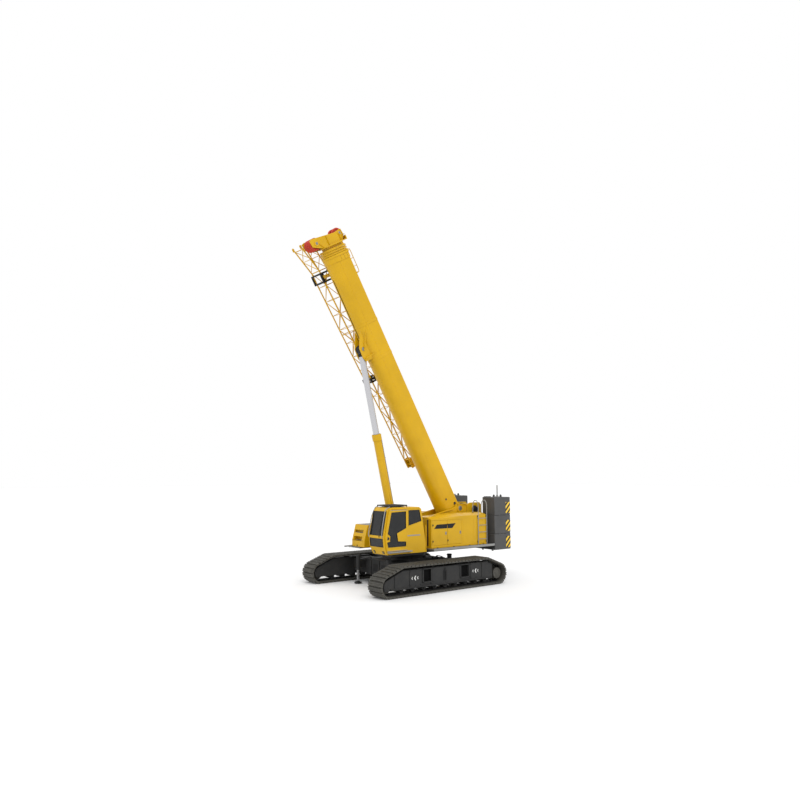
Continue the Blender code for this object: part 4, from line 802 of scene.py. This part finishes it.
# inside the cab
seat = Piece("seat_cushions", S, FABRIC, bevel=0.035, segments=4)
seat.box((0.58, 0.88, 1.98), (1.04, 1.34, 2.09))
seat.prism([(0.46, 2.08), (0.58, 2.06), (0.55, 2.56), (0.5, 2.7), (0.43, 2.7)], 0.9, 1.32)
seat.prism([(0.42, 2.7), (0.5, 2.7), (0.5, 2.72), (0.43, 2.725)], 1.0, 1.22)
seat.done("operator_seat")
base = Piece("seat_base", S, PLASTIC, bevel=0.012)
base.box((0.62, 0.94, 1.58), (0.98, 1.28, 1.98))
for y in (0.86, 1.3):
    base.box((0.6, y - 0.03, 2.16), (1.02, y + 0.05, 2.24))
    base.cyl((0.97, y + 0.01, 2.24), (0.99, y + 0.01, 2.4), 0.014, 12)
    base.cyl((0.985, y + 0.01, 2.38), (0.992, y + 0.01, 2.47), 0.024, 12, chamfer=0.006)
base.done()
desk = Piece("cab_console", S, PLASTIC, bevel=0.012)
desk.prism([(1.76, 1.58), (1.99, 1.58), (1.99, 2.1), (1.94, 2.18), (1.8, 2.1), (1.76, 2.0)], 0.8, 1.02)
desk.prism([(1.8, 2.1), (1.98, 2.1), (1.94, 2.185), (1.8, 2.14)], 0.8, 1.4)
desk.box((1.9, 0.82, 1.58), (1.98, 1.38, 1.7))
desk.done("console")
Piece("cab_screen", S, GLASS, bevel=0.003).prism([(1.825, 2.145), (1.925, 2.185), (1.92, 2.193), (1.82, 2.153)],
    0.84, 1.0).done()


# ------------------------------------------------------------------ left housing
for node in ("hood_left", "hood_right", "step_box"):
    softened(node, YELLOW, S, bevel=0.022, segments=3, angle=12)
DOORS = (("hood_door_1", -0.321, -1.212), ("hood_door_2", -1.224, -2.111))
for name, front, rear in DOORS:
    softened(name, YELLOW, name, bevel=0.008, segments=2)
    lining = Piece(f"{name}_lining", name, YELLOW, bevel=0.004)
    y0, y1 = 1.578, 1.5905
    for x0, x1, z0, z1 in ((rear + 0.06, rear + 0.1, 1.83, 2.79), (front - 0.1, front - 0.06, 1.83, 2.79),
            (rear + 0.06, front - 0.06, 2.28, 2.32)):
        lining.box((x0, y0, z0), (x1, y1, z1))
    lining.done()
    latch = Piece(f"{name}_latch", name, STEEL, bevel=0.002)
    lx = rear + 0.085
    latch.box((lx - 0.045, 1.6185, 2.215), (lx + 0.045, 1.623, 2.345))
    latch.box((lx - 0.013, 1.622, 2.235), (lx + 0.013, 1.63, 2.32))
    latch.cyl((lx, 1.622, 2.335), (lx, 1.628, 2.335), 0.01, 12)
    latch.done()
    hinge = Piece(f"{name}_hinges", name, DARK_AND_SHADE, bevel=0.0)
    for z in (1.95, 2.66):
        hinge.cyl((front, 1.63, z - 0.045), (front, 1.63, z + 0.045), 0.009, 12)
        hinge.box((front - 0.055, 1.6195, z - 0.035), (front - 0.004, 1.6235, z + 0.035))
    hinge.done()
    strip = Piece(f"{name}_seal", name, RUBBER_AND_SHADE, bevel=0.0)
    strip.tube([(rear + 0.032, 1.5865, 1.8), (front - 0.032, 1.5865, 1.8), (front - 0.032, 1.5865, 2.82),
        (rear + 0.032, 1.5865, 2.82)], 0.0038, 6, closed=True)
    strip.done()
# blank name plate, split where the two doors meet
Piece("plate_front", "hood_door_1", DARK_AND_SHADE, bevel=0.001, segments=1).prism([(-0.409, 2.5), (-0.578, 2.682),
    (-1.206, 2.691), (-1.206, 2.494)], 1.6192, 1.6225).done()
Piece("plate_rear", "hood_door_2", DARK_AND_SHADE, bevel=0.001, segments=1).prism([(-1.23, 2.691), (-1.734, 2.706),
    (-1.525, 2.49), (-1.23, 2.494)], 1.6192, 1.6225).done()

trim = Piece("hood_trim", S, YELLOW, bevel=0.005)
for s in (1, -1):
    front = -0.25 if s > 0 else -0.9
    trim.box((-3.735, s * 1.612, 1.645), (front - 0.005, s * 1.632, 1.712))
for x in (-2.2, -2.9):
    trim.box((x - 0.006, 1.616, 1.76), (x + 0.006, 1.6265, 2.99))
trim.box((-2.075, 0.7, 3.102), (-2.045, 1.29, 3.118))
trim.box((-2.9, 0.7, 3.102), (-2.87, 1.29, 3.118))
trim.done()
# A black strip down the hood's front face: painted shadow of the gap between the cab's rear and the hood.
Piece("hood_front_gap_shadow", S, RUBBER_AND_SHADE, bevel=0.003).box((-0.252, 1.33, 1.74), (-0.243, 1.42, 2.9)).done()
# Dark lips and bars for the cooling slots: painted shade inside the slots.
vent_shade = Piece("hood_louvre_shade", S, DARK_AND_SHADE, bevel=0.002, segments=1)
for k in range(11):                               # cooling slots in the right side
    z = 1.9 + 0.075 * k
    lip = [(-1.617, z), (-1.64, z + 0.008), (-1.64, z + 0.014), (-1.617, z + 0.04)]
    for x0, x1 in ((-1.95, -1.25), (-2.95, -2.25)):
        vent_shade.prism(lip, x0, x1, axis="x")
for k in range(9):                                # and in the left housing's roof
    x = -1.75 + 0.11 * k
    vent_shade.box((x, 0.78, 3.04), (x + 0.055, 1.2, 3.1 - 0.0542 * (x + 2.06)))
vent_shade.done()
caps = Piece("tank_caps", S, DARK_AND_SHADE, bevel=0.003)
for x, z in ((-1.2, 3.05), (-3.3, 3.105)):
    caps.turned((x, -1.0, z), (0, 0, 1), [(0.03, 0.0), (0.075, 0.0), (0.075, 0.035), (0.065, 0.05), (0.02, 0.055)], 24)
caps.done()
feet = Piece("hood_feet", S, GREY, bevel=0.004)
for s in (1, -1):
    for x in (-0.6, -1.6, -2.6, -3.5):
        if s > 0 or x < -0.9:
            feet.box((x - 0.05, s * 1.6, 1.6405), (x + 0.05, s * 1.655, 1.668))
            feet.bolt((x, s * 1.64, 1.668), (0, 0, 1), 0.012, 0.01)
feet.done()

# stepped box on the right: treads, plug and seams
treads = Piece("step_treads", S, DECK, bevel=0.003)
for z in (1.936, 2.271):
    treads.box((1.52, -1.54, z), (1.69, -0.91, z + 0.01))
treads.box((0.72, -1.6, 2.628), (1.58, -0.67, 2.634))
treads.done()
boxbits = Piece("step_box_fittings", S, DARK_AND_SHADE, bevel=0.003)
boxbits.turned((1.787, -1.2, 1.7), (1, 0, 0), [(0.015, -0.01), (0.03, -0.01), (0.03, 0.008), (0.012, 0.008)], 20)
boxbits.box((0.8, -1.626, 1.8), (0.815, -1.6195, 2.5))
boxbits.box((1.4, -1.626, 1.8), (1.415, -1.6195, 2.5))
boxbits.done()
bumper = Piece("right_deck_front", S, RAIL, bevel=0.004)
bumper.box((1.8, -1.876, 1.59), (2.04, -1.846, 1.655))
bumper.box((1.8, -1.876, 1.626), (2.04, -1.45, 1.64))
bumper.done()

# ------------------------------------------------------------------ ladder
rails = Piece("ladder_rails", S, RAIL, bevel=0.0)
LADDER_Y, LADDER_XS = 1.665, (-3.156, -3.725)
side_line = [(LADDER_Y, 1.645), (LADDER_Y, 3.43), (LADDER_Y - 0.012, 3.53), (LADDER_Y - 0.05, 3.62),
    (LADDER_Y - 0.11, 3.685), (LADDER_Y - 0.18, 3.7), (LADDER_Y - 0.25, 3.685), (LADDER_Y - 0.315, 3.62),
    (LADDER_Y - 0.345, 3.54), (LADDER_Y - 0.36, 3.45), (LADDER_Y - 0.36, 3.112)]
for x in LADDER_XS:
    rails.tube([(x, y, z) for y, z in side_line], 0.018, 12)
    for z in (1.78, 2.95):
        rails.tube([(x, LADDER_Y - 0.008, z), (x, 1.615, z)], 0.012, 8)
for z in (1.9, 2.22, 2.54, 2.86):
    rails.cyl((LADDER_XS[1], LADDER_Y, z), (LADDER_XS[0], LADDER_Y, z), 0.014, 12)
rails.done("ladder")
shoes = Piece("ladder_shoes", S, DARK_AND_SHADE, bevel=0.002)
for x in LADDER_XS:
    for z in (1.78, 2.95):
        shoes.box((x - 0.035, 1.6195, z - 0.04), (x + 0.035, 1.6265, z + 0.04))
    shoes.turned((x, LADDER_Y - 0.36, 3.111), (0, 0, 1), [(0.022, 0.0), (0.04, 0.0), (0.04, 0.008), (0.022, 0.01)], 20)
shoes.done()

# ------------------------------------------------------------------ counterweight
for node in ("counterweight_base", "counterweight_left_middle", "counterweight_left_top",
        "counterweight_right_middle", "counterweight_right_top"):
    softened(node, BALLAST, S, bevel=0.008, segments=2, angle=40)
bands = Piece("hazard_plates", S, HAZARD, bevel=0.001, segments=1)
for s in (1, -1):
    for z0, z1 in ((3.06, 3.59), (2.2, 2.73), (1.43, 1.96)):
        bands.box((-5.135, s * 1.8765, z0), (-4.82, s * 1.8795, z1))
        bands.box((-5.1535, s * 1.56, z0), (-5.1495, s * 1.86, z1))
bands.done()
lugs = Piece("counterweight_lugs", S, BALLAST, bevel=0.006)
for s in (1, -1):
    for x in (-4.4, -4.88):
        y = s * 1.5
        hook = arc(x, 3.895, 0.055, 0.0, pi, 10)
        lugs.prism([(x + 0.075, 3.826)] + hook + [(x - 0.075, 3.826)], y - 0.018, y + 0.018)
    for z in (2.1, 2.97):                        # keys that hold the stacked blocks together
        for x in (-4.35, -4.85):
            lugs.box((x - 0.045, s * 1.855, z - 0.05), (x + 0.045, s * 1.884, z + 0.05))
    lugs.box((-4.38, s * 1.12, 3.828), (-4.1, s * 1.34, 3.862))
lugs.done()
posts = Piece("counterweight_rods", S, RAIL, bevel=0.003)
for s in (1, -1):
    y = s * 1.5
    if s > 0:                                     # only the left stack has its lifting rod in place
        posts.cyl((-4.64, y, 3.83), (-4.64, y, 4.4), 0.03, 16, chamfer=0.006)
    posts.turned((-4.64, y, 3.828), (0, 0, 1), [(0.03, 0.0), (0.085, 0.0), (0.085, 0.03), (0.05, 0.045),
        (0.05, 0.085), (0.03, 0.09)], 24)
    if s > 0:
        for yy in (0.82, 1.47):
            posts.turned((-4.3, yy, 1.262), (0, 0, 1), [(0.03, 0.0), (0.05, 0.012), (0.05, 0.05), (0.035, 0.06),
                (0.035, 0.09)], 20)
posts.done()
# Dark dished rings on the rear face: painted shade in the counterweight's recesses.
recess_shade = Piece("counterweight_recess_shade", S, DARK_AND_SHADE, bevel=0.004)
for s in (1, -1):
    for z in (1.72, 2.53, 3.4):
        recess_shade.turned((-5.1455, s * 0.95 if z < 2 else s * 1.3, z), (-1, 0, 0),
            [(0.02, 0.0), (0.055, 0.0), (0.055, 0.008), (0.042, 0.008), (0.036, 0.002), (0.02, 0.002)], 24)
recess_shade.done()

# ------------------------------------------------------------------ winch
WINCH_X, WINCH_Z = -4.05, 3.22
softened("winch_frame", YELLOW, S, bevel=0.008)
frame_bits = Piece("winch_frame_fittings", S, DARK_AND_SHADE, bevel=0.004)
for s in (1, -1):
    frame_bits.turned((WINCH_X, s * 0.519, WINCH_Z), (0, s, 0), [(0.04, 0.0), (0.19, 0.0), (0.19, 0.02),
        (0.15, 0.035), (0.15, 0.1), (0.12, 0.12), (0.04, 0.12)], 32)
    frame_bits.bolts((WINCH_X, s * 0.539, WINCH_Z), (0, s, 0), 0.17, 12, 0.011, 0.012)
frame_bits.cyl((-3.6, -0.462, 3.42), (-3.6, 0.462, 3.42), 0.035, 16)
frame_bits.cyl((-4.45, -0.462, 3.42), (-4.45, 0.462, 3.42), 0.035, 16)
frame_bits.done()
drum = Piece("winch_drum_body", "winch_drum", DARK_AND_SHADE, bevel=0.004)
drum.turned((WINCH_X, -0.45, WINCH_Z), (0, 1, 0), [(0.03, 0.0), (0.088, 0.0), (0.088, 0.03), (0.27, 0.03),
    (0.284, 0.036), (0.284, 0.058), (0.198, 0.062), (0.198, 0.838), (0.284, 0.842), (0.284, 0.864), (0.27, 0.87),
    (0.088, 0.87), (0.088, 0.9), (0.03, 0.9)], 48)
drum.done("winch_drum")
lay = Piece("winch_rope", "winch_drum", ROPE, bevel=0.0)
profile = [(0.199, 0.064)]
wraps = 38
for k in range(wraps):
    t = 0.066 + (0.834 - 0.066) * k / wraps
    w = (0.834 - 0.066) / wraps
    profile += [(0.214, t + 0.001), (0.2235, t + w * 0.5), (0.214, t + w - 0.001)]
profile += [(0.199, 0.836)]
lay.turned((WINCH_X, -0.45, WINCH_Z), (0, 1, 0), profile, 40)
lay.done()

# ------------------------------------------------------------------ boom; local frame: X along, Z across
B = "boom_base"
DROP, HALF, TOP, BOTTOM = 0.43, 0.432, 0.548, 0.5
BOOM_FRONT, STEP = 13.31, 0.101                   # end of the base section; each next one reaches further


def boom_outline(inset, steps=20):
    half, top, bottom = HALF - inset, TOP - inset, BOTTOM - inset
    belly = bottom - 0.1
    pts = [(half, top - 0.045 - DROP), (half - 0.013, top - 0.013 - DROP), (half - 0.045, top - DROP),
        (-half + 0.045, top - DROP), (-half + 0.013, top - 0.013 - DROP), (-half, top - 0.045 - DROP)]
    for i in range(steps + 1):
        t = pi + pi * i / steps
        pts.append((half * cos(t), -0.1 + belly * sin(t) - DROP))
    return pts


def shell(piece, start, end, inset, wall):
    """A length of hollow boom section."""
    outer, inner = boom_outline(inset), boom_outline(inset + wall)
    rings = [[(a, y, b) for y, b in line] for a, line in ((start, outer), (end, outer), (end, inner), (start, inner))]
    piece.rings(rings, closed=True)


softened("boom_base", YELLOW, B, bevel=0.006, segments=2, angle=40)
base = on_boom("boom_base_trim", B, YELLOW, bevel=0.005)
for start, end, out in ((-0.34, -0.1, 0.012), (12.98, 13.3, 0.022), (13.215, 13.305, 0.045), (8.3, 8.42, 0.009),
        (9.95, 10.07, 0.009)):
    shell(base, start, end, -out, out + 0.001)
for s in (1, -1):
    base.turned((0, s * 0.425, 0), (0, s, 0), [(0.1, 0.0), (0.215, 0.0), (0.215, 0.018), (0.165, 0.034),
        (0.1, 0.036)], 36)
    # ribs that spread the cylinder's push into the boom's side
    for (a0, b0), (a1, b1) in (((10.07, -0.54), (8.95, -1.16)), ((8.68, -0.47), (8.62, -1.28))):
        run = Vector((a1 - a0, 0, b1 - b0)).normalized()
        off = Vector((-run.z, 0, run.x)) * 0.016
        ring = []
        for (a, b, ya, yb) in ((a0, b0, 0.436, 0.452), (a1, b1, 0.212, 0.262)):
            centre = Vector((a, 0, b))
            ring.append([centre - off + Vector((0, s * ya, 0)), centre + off + Vector((0, s * ya, 0)),
                centre + off + Vector((0, s * yb, 0)), centre - off + Vector((0, s * yb, 0))])
        base.rings(ring)
base.done()
lines = on_boom("boom_welds", B, YELLOW, bevel=0.0)
for s in (1, -1):
    for run in ((-0.05, 4.0, 8.25), (8.45, 9.9), (10.1, 12.95)):
        lines.tube([(a, s * 0.4315, -0.53) for a in run], 0.006, 6)
lines.done()
on_boom("boom_belly_rail", B, YELLOW, bevel=0.0).tube([(a, -0.085, -0.942) for a in (9.45, 10.9, 12.32)], 0.024,
    10).done()
on_boom("boom_belly_seam", B, RUBBER_AND_SHADE, bevel=0.0).tube([(a, -0.052, -0.934) for a in (9.47, 10.9, 12.3)], 0.013,
    8).done()
# Black discs in the boom's access holes: painted shade of the hollow boom's inside.
hole_shade = on_boom("boom_side_hole_shade", B, RUBBER_AND_SHADE, bevel=0.0)
rims = on_boom("boom_hole_rims", B, YELLOW, bevel=0.002, segments=1)
for a, b, r in ((0.789, -0.482, 0.05), (0.329, -0.102, 0.075)):
    for s in (1, -1):
        hole_shade.cyl((a, s * 0.425, b), (a, s * 0.4405, b), r, 24)
        rims.turned((a, s * 0.431, b), (0, s, 0), [(r, 0.0), (r + 0.018, 0.0), (r + 0.018, 0.008), (r, 0.008)], 28)
hole_shade.done()
rims.done()
pads = on_boom("boom_wear_pad_bolts", B, DARK_AND_SHADE, bevel=0.0)
for s in (1, -1):
    for a in (13.03, 13.1, 13.17):
        for b in (-0.4, -0.2, 0.0):
            pads.bolt((a, s * (HALF + 0.021), b), (0, s, 0), 0.012, 0.01)
for a in (13.05, 13.15):
    for y in (-0.28, -0.1, 0.1, 0.28):
        pads.bolt((a, y, TOP + 0.021 - DROP), (0, 0, 1), 0.012, 0.01)
pads.done()
guide = on_boom("boom_rope_guide", B, YELLOW, bevel=0.0)
for s in (1, -1):
    guide.tube([(12.18, s * 0.3, 0.14), (12.22, s * 0.3, 0.33), (12.3, s * 0.3, 0.355), (13.22, s * 0.3, 0.355),
        (13.3, s * 0.3, 0.33), (13.3, s * 0.3, 0.17)], 0.016, 10)
    for a in (12.52, 12.88):
        guide.cyl((a, s * 0.3, 0.12), (a, s * 0.3, 0.355), 0.013, 10)
for a in (12.22, 13.3):
    guide.cyl((a, -0.3, 0.33), (a, 0.3, 0.33), 0.014, 10)
guide.done()
pin = on_boom("cylinder_rod_pin", B, STEEL, bevel=0.003)
for s in (1, -1):
    pin.turned((PIN_A, s * 0.205, PIN_B), (0, s, 0), [(0.03, -0.01), (0.085, -0.01), (0.085, 0.022), (0.02, 0.03)], 28)
    pin.bolts((PIN_A, s * 0.228, PIN_B), (0, s, 0), 0.055, 4, 0.01, 0.01)
pin.done()

for k in range(2, 6):
    name = f"boom_section_{k}"
    softened(name, YELLOW, name, bevel=0.005, segments=2, angle=40)
    front = BOOM_FRONT + STEP * (k - 1)
    if k < 5:
        collar = on_boom(f"boom_collar_{k}", name, YELLOW, bevel=0.006)
        shell(collar, front - 0.088, front - 0.05, -0.04, 0.03)
        collar.done()
        studs = on_boom(f"boom_collar_bolts_{k}", name, DARK_AND_SHADE, bevel=0.0)
        for s in (1, -1):
            for b in (-0.42, -0.24, -0.06):
                studs.bolt((front - 0.022, s * (HALF + 0.012), b), (0, s, 0), 0.01, 0.01)
        for y in (-0.3, -0.1, 0.1, 0.3):
            studs.bolt((front - 0.022, y, TOP + 0.012 - DROP), (0, 0, 1), 0.01, 0.01)
        studs.done()

# head
H = "boom_section_5"
HEAD_PINS = ((14.1, 0.15), (14.05, -1.22))        # upper and lower sheaves
softened("boom_head", YELLOW, H, bevel=0.008, segments=2, angle=40)
head = on_boom("boom_head_ribs", H, YELLOW, bevel=0.006)
for s in (1, -1):
    for (a, b), r in zip(HEAD_PINS, (0.115, 0.12)):
        head.turned((a, s * 0.338, b), (0, s, 0), [(0.05, 0.0), (r, 0.0), (r, 0.022), (0.05, 0.022)], 32)
    y0, y1 = sorted((s * 0.338, s * 0.385))
    rib = [((13.74, 0.08), (14.1, 0.1)), ((13.74, -0.62), (14.22, -0.62)), ((13.76, -0.92), (14.0, -1.12))]
    for (a0, b0), (a1, b1) in rib:
        run = Vector((a1 - a0, b1 - b0)).normalized()
        n = Vector((-run.y, run.x)) * 0.012
        head.prism([(a0 - n.x, b0 - n.y), (a1 - n.x, b1 - n.y), (a1 + n.x, b1 + n.y), (a0 + n.x, b0 + n.y)], y0, y1)
    head.prism([(13.735, 0.11), (13.98, 0.305), (14.25, 0.265), (14.25, 0.235), (13.98, 0.275), (13.735, 0.08)], y0, y1)
head.box((13.735, -0.305, 0.02), (13.775, 0.305, 0.47))
head.box((13.735, -0.3, 0.43), (13.93, 0.3, 0.47))
head.box((13.8, -0.305, -0.72), (14.2, 0.305, -0.68))
head.cyl((14.19, -0.305, -0.4), (14.19, 0.305, -0.4), 0.04, 20)
head.box((13.56, -0.26, -0.03), (13.74, 0.26, 0.2))
head.done()
headpins = on_boom("boom_head_pins", H, STEEL, bevel=0.003)
for a, b in HEAD_PINS:
    for s in (1, -1):
        headpins.cyl((a, s * 0.3, b), (a, s * 0.365, b), 0.062, 24, chamfer=0.006)
        headpins.bolts((a, s * 0.36, b), (0, s, 0), 0.088, 4, 0.011, 0.01, start=0.78)
headpins.done()
keeper = on_boom("rope_keepers", H, DARK_AND_SHADE, bevel=0.0)
for a, b in ((13.98, 0.415), (14.15, -0.92), (13.78, -1.1)):
    keeper.cyl((a, -0.3, b), (a, 0.3, b), 0.014, 10)
keeper.done()


def sheaves(name, node, body, a, b, count):
    half = 0.27
    pitch = 2 * half / count
    piece = on_boom(name, body, RED, bevel=0.0)
    web = 0.012
    for k in range(count):
        y = -half + pitch * (k + 0.5)
        w = min(pitch / 2 - 0.006, 0.055)
        rim = [(0.055, -w * 0.8), (0.095, -w * 0.8), (0.095, -web), (0.198, -web), (0.205, -w * 0.75), (0.262, -w),
            (0.27, -w * 0.9), (0.27, -w * 0.74), (0.224, -w * 0.22), (0.224, w * 0.22), (0.27, w * 0.74),
            (0.27, w * 0.9), (0.262, w), (0.205, w * 0.75), (0.198, web), (0.095, web), (0.095, w * 0.8),
            (0.055, w * 0.8)]
        piece.turned((a, y, b), (0, 1, 0), rim, 44)
    piece.done(node)
    axle = on_boom(name + "_hubs", body, STEEL, bevel=0.002)
    axle.cyl((a, -0.272, b), (a, 0.272, b), 0.055, 24)
    for k in range(count):
        y = -half + pitch * (k + 0.5)
        for j in range(8):
            t = 2 * pi * j / 8
            axle.cyl((a + 0.15 * cos(t), y - 0.0155, b + 0.15 * sin(t)),
                (a + 0.15 * cos(t), y + 0.0155, b + 0.15 * sin(t)), 0.016, 10)
    axle.done()


sheaves("upper_sheave_wheels", "upper_sheaves", "upper_sheaves", *HEAD_PINS[0], 2)
sheaves("lower_sheave_wheels", "lower_sheaves", "lower_sheaves", *HEAD_PINS[1], 4)

# ------------------------------------------------------------------ stowed jib, in the boom's frame
# along the boom: low, high, inner and outer limits of the lattice; it narrows towards its tip
STATIONS = [(14.25, -1.39, -0.76, -0.62, -1.25), (12.94, -1.0, -0.56, -0.62, -1.25),
    (9.84, -0.878, -0.433, -0.61, -1.25), (7.84, -0.781, -0.415, -0.723, -1.25),
    (5.44, -0.63, -0.354, -0.85, -1.25), (2.6, -0.542, -0.31, -0.916, -1.25)]


def jib_point(a, corner):
    low, high, inner, outer = STATIONS[-1][1:]
    for first, second in zip(STATIONS, STATIONS[1:]):
        if a >= second[0]:
            t = (a - first[0]) / (second[0] - first[0])
            low, high, inner, outer = [lerp(p, q, t) for p, q in zip(first[1:], second[1:])]
            break
    return (a, (outer, outer, inner, inner)[corner], (low, high, high, low)[corner])


def bar(a0, corner, a1, other, radius, sides=8):
    jib.cyl(jib_point(a0, corner), jib_point(a1, other), radius, sides)


jib = on_boom("jib_lattice", B, YELLOW, bevel=0.0)
for corner in range(4):
    jib.tube([jib_point(station[0], corner) for station in STATIONS], 0.03, 12)
start, tip, bays = 12.94, 2.6, 14                 # the last 0.42 m at the tip are the end plates
pitch = (tip + 0.42 - start) / bays
for corner in range(4):
    other = (corner + 1) % 4
    for k in range(bays):
        p, q = (corner, other) if (k + corner) % 2 == 0 else (other, corner)
        bar(start + pitch * k, p, start + pitch * (k + 1), q, 0.0155)
        bar(start + pitch * (k + 1), corner, start + pitch * (k + 1), other, 0.012)
    bar(start, corner, start, other, 0.02, 10)
    bar(14.1, corner, 13.55, other, 0.0155)
    bar(13.55, other, 12.98, corner, 0.0155)
    bar(13.55, corner, 13.55, other, 0.013)
    bar(9.84, corner, 9.84, other, 0.0165)
for corner, other in ((0, 1), (2, 3)):
    bar(14.1, corner, 14.1, other, 0.02, 10)
jib.done("jib")
ends = on_boom("jib_end_plates", B, YELLOW, bevel=0.006)
low, high, inner, outer = STATIONS[-1][1:]
for y in (outer - 0.012, inner - 0.012):
    ends.prism([(2.55, low - 0.015), (2.62, low - 0.02), (3.05, low - 0.01), (3.05, high + 0.01),
        (2.62, high + 0.02), (2.55, high + 0.015)], y, y + 0.024)
for a in (2.6, 3.0):
    ends.box((a, outer, low), (a + 0.02, inner, high))
ends.box((2.6, outer, high - 0.006), (3.02, inner, high + 0.006))
ends.cyl((2.72, outer - 0.03, (low + high) / 2), (2.72, inner + 0.03, (low + high) / 2), 0.045, 20)
for corner in range(4):
    _, y, b = jib_point(14.25, corner)
    lug = arc(14.24, b, 0.055, -pi / 2, pi / 2, 10)
    lug = [(min(p, 14.295), q) for p, q in lug]
    ends.prism([(14.12, b - 0.045)] + lug + [(14.12, b + 0.045)], y - 0.014, y + 0.014)
ends.done()
for node in ("jib_bracket_front", "jib_bracket_rear"):
    softened(node, DARK_AND_SHADE, B, bevel=0.006)
on_boom("jib_bracket_block", B, YELLOW, bevel=0.006).box((12.52, -1.22, -0.6), (12.68, -0.66, -0.545)).done()
feet = on_boom("jib_bracket_pads", B, DARK_AND_SHADE, bevel=0.003)
for a0, a1, top in ((12.37, 12.83, -0.472), (7.29, 7.51, -0.328)):
    for b0, b1 in ((top + 0.105, top + 0.165), (top - 0.095, top - 0.045)):
        feet.box((a0 + 0.02, -0.452, b0), (a1 - 0.02, -0.4325, b1))
        for a in (a0 + 0.06, a1 - 0.06):
            feet.bolt((a, -0.452, (b0 + b1) / 2), (0, -1, 0), 0.011, 0.01)
feet.done()

# ------------------------------------------------------------------ luffing cylinder, drawn along its own X
softened("cylinder_barrel", YELLOW, "cylinder_barrel", bevel=0.006, segments=2, angle=40)
barrel = Piece("cylinder_barrel_trim", "cylinder_barrel", YELLOW, bevel=0.004, place=CYLINDER)
barrel.turned((0, 0, 0), (1, 0, 0), [(0.186, 4.56), (0.212, 4.57), (0.212, 4.845), (0.205, 4.855), (0.152, 4.857),
    (0.15, 4.852)], 40)
barrel.turned((0, 0, 0), (1, 0, 0), [(0.184, 0.24), (0.198, 0.25), (0.198, 0.34), (0.184, 0.35)], 36)
barrel.bolts((4.857, 0, 0), (1, 0, 0), 0.182, 12, 0.011, 0.012)
for x in (1.3, 2.5, 3.7):
    barrel.turned((0, 0, 0), (1, 0, 0), [(0.184, x), (0.191, x), (0.191, x + 0.05), (0.184, x + 0.05)], 36)
barrel.done()
pipe = Piece("cylinder_pipe", "cylinder_barrel", STEEL, bevel=0.0, place=CYLINDER)
pipe.tube([(0.42, 0.0, 0.18), (0.46, 0.0, 0.235), (0.56, 0.0, 0.245), (4.55, 0.0, 0.245), (4.66, 0.0, 0.24),
    (4.7, 0.0, 0.205)], 0.014, 10)
for x in (1.325, 2.525, 3.725):
    pipe.box((x - 0.02, -0.025, 0.186), (x + 0.02, 0.025, 0.262))
pipe.done()
Piece("cylinder_valve", "cylinder_barrel", DARK_AND_SHADE, bevel=0.005, place=CYLINDER).box((0.3, -0.075, 0.18),
    (0.5, 0.075, 0.27)).done()
Piece("cylinder_gland", "cylinder_barrel", RUBBER_AND_SHADE, bevel=0.0, place=CYLINDER).turned((0, 0, 0), (1, 0, 0),
    [(0.1425, 4.845), (0.165, 4.85), (0.165, 4.866), (0.1425, 4.868)], 36).done()
Piece("cylinder_rod_bar", "cylinder_rod", CHROME, bevel=0.0, place=CYLINDER).cyl((3.53, 0, 0),
    (CYL_LENGTH - 0.14, 0, 0), 0.1395, 48).done("cylinder_rod")
eye = Piece("cylinder_rod_eye", "cylinder_rod", DARK_AND_SHADE, bevel=0.005, place=CYLINDER)
eye.turned((CYL_LENGTH, 0, 0), (0, 1, 0), [(0.05, -0.144), (0.175, -0.144), (0.19, -0.13), (0.19, 0.13),
    (0.175, 0.144), (0.05, 0.144)], 40)
eye.turned((0, 0, 0), (1, 0, 0), [(0.1, CYL_LENGTH - 0.34), (0.15, CYL_LENGTH - 0.32), (0.15, CYL_LENGTH - 0.15),
    (0.1, CYL_LENGTH - 0.12)], 32)
eye.done()

# ------------------------------------------------------------------ floor, light and camera
bm = bmesh.new()
bmesh.ops.create_grid(bm, x_segments=1, y_segments=1, size=220.0)
mesh = bpy.data.meshes.new("floor")
bm.to_mesh(mesh)
bm.free()
floor = bpy.data.objects.new("floor", mesh)
floor.location = (0, 0, -0.002)
SCENE.collection.objects.link(floor)
floor_mat = bpy.data.materials.new("floor_white")
floor_mat.use_nodes = True
matt = floor_mat.node_tree.nodes["Principled BSDF"].inputs
matt["Base Color"].default_value = (0.86, 0.86, 0.86, 1)
matt["Roughness"].default_value = 0.9
floor.data.materials.append(floor_mat)

world = bpy.data.worlds.new("studio")
SCENE.world = world
world.use_nodes = True
world.node_tree.nodes["Background"].inputs["Color"].default_value = (1, 1, 1, 1)
world.node_tree.nodes["Background"].inputs["Strength"].default_value = 1.0

sun = bpy.data.lights.new("soft_sun", "SUN")
sun.energy = 1.1
sun.angle = radians(50.0)
sun_at = bpy.data.objects.new("soft_sun", sun)
sun_at.rotation_euler = Vector((-0.25, -0.62, -1.0)).to_track_quat("-Z", "Y").to_euler()
SCENE.collection.objects.link(sun_at)

# place, tilt and heading are fitted to the photo
data = bpy.data.cameras.new("camera")
data.sensor_width = 36.0
data.angle = radians(60.0)
data.clip_end = 1000.0
camera = bpy.data.objects.new("camera", data)
camera.location = (20.443, 25.123, 4.971)
camera.rotation_euler = (radians(90 + 6.045), 0.0, radians(231.196 - 90))
SCENE.collection.objects.link(camera)
SCENE.camera = camera
SCENE.view_settings.view_transform = "Standard"
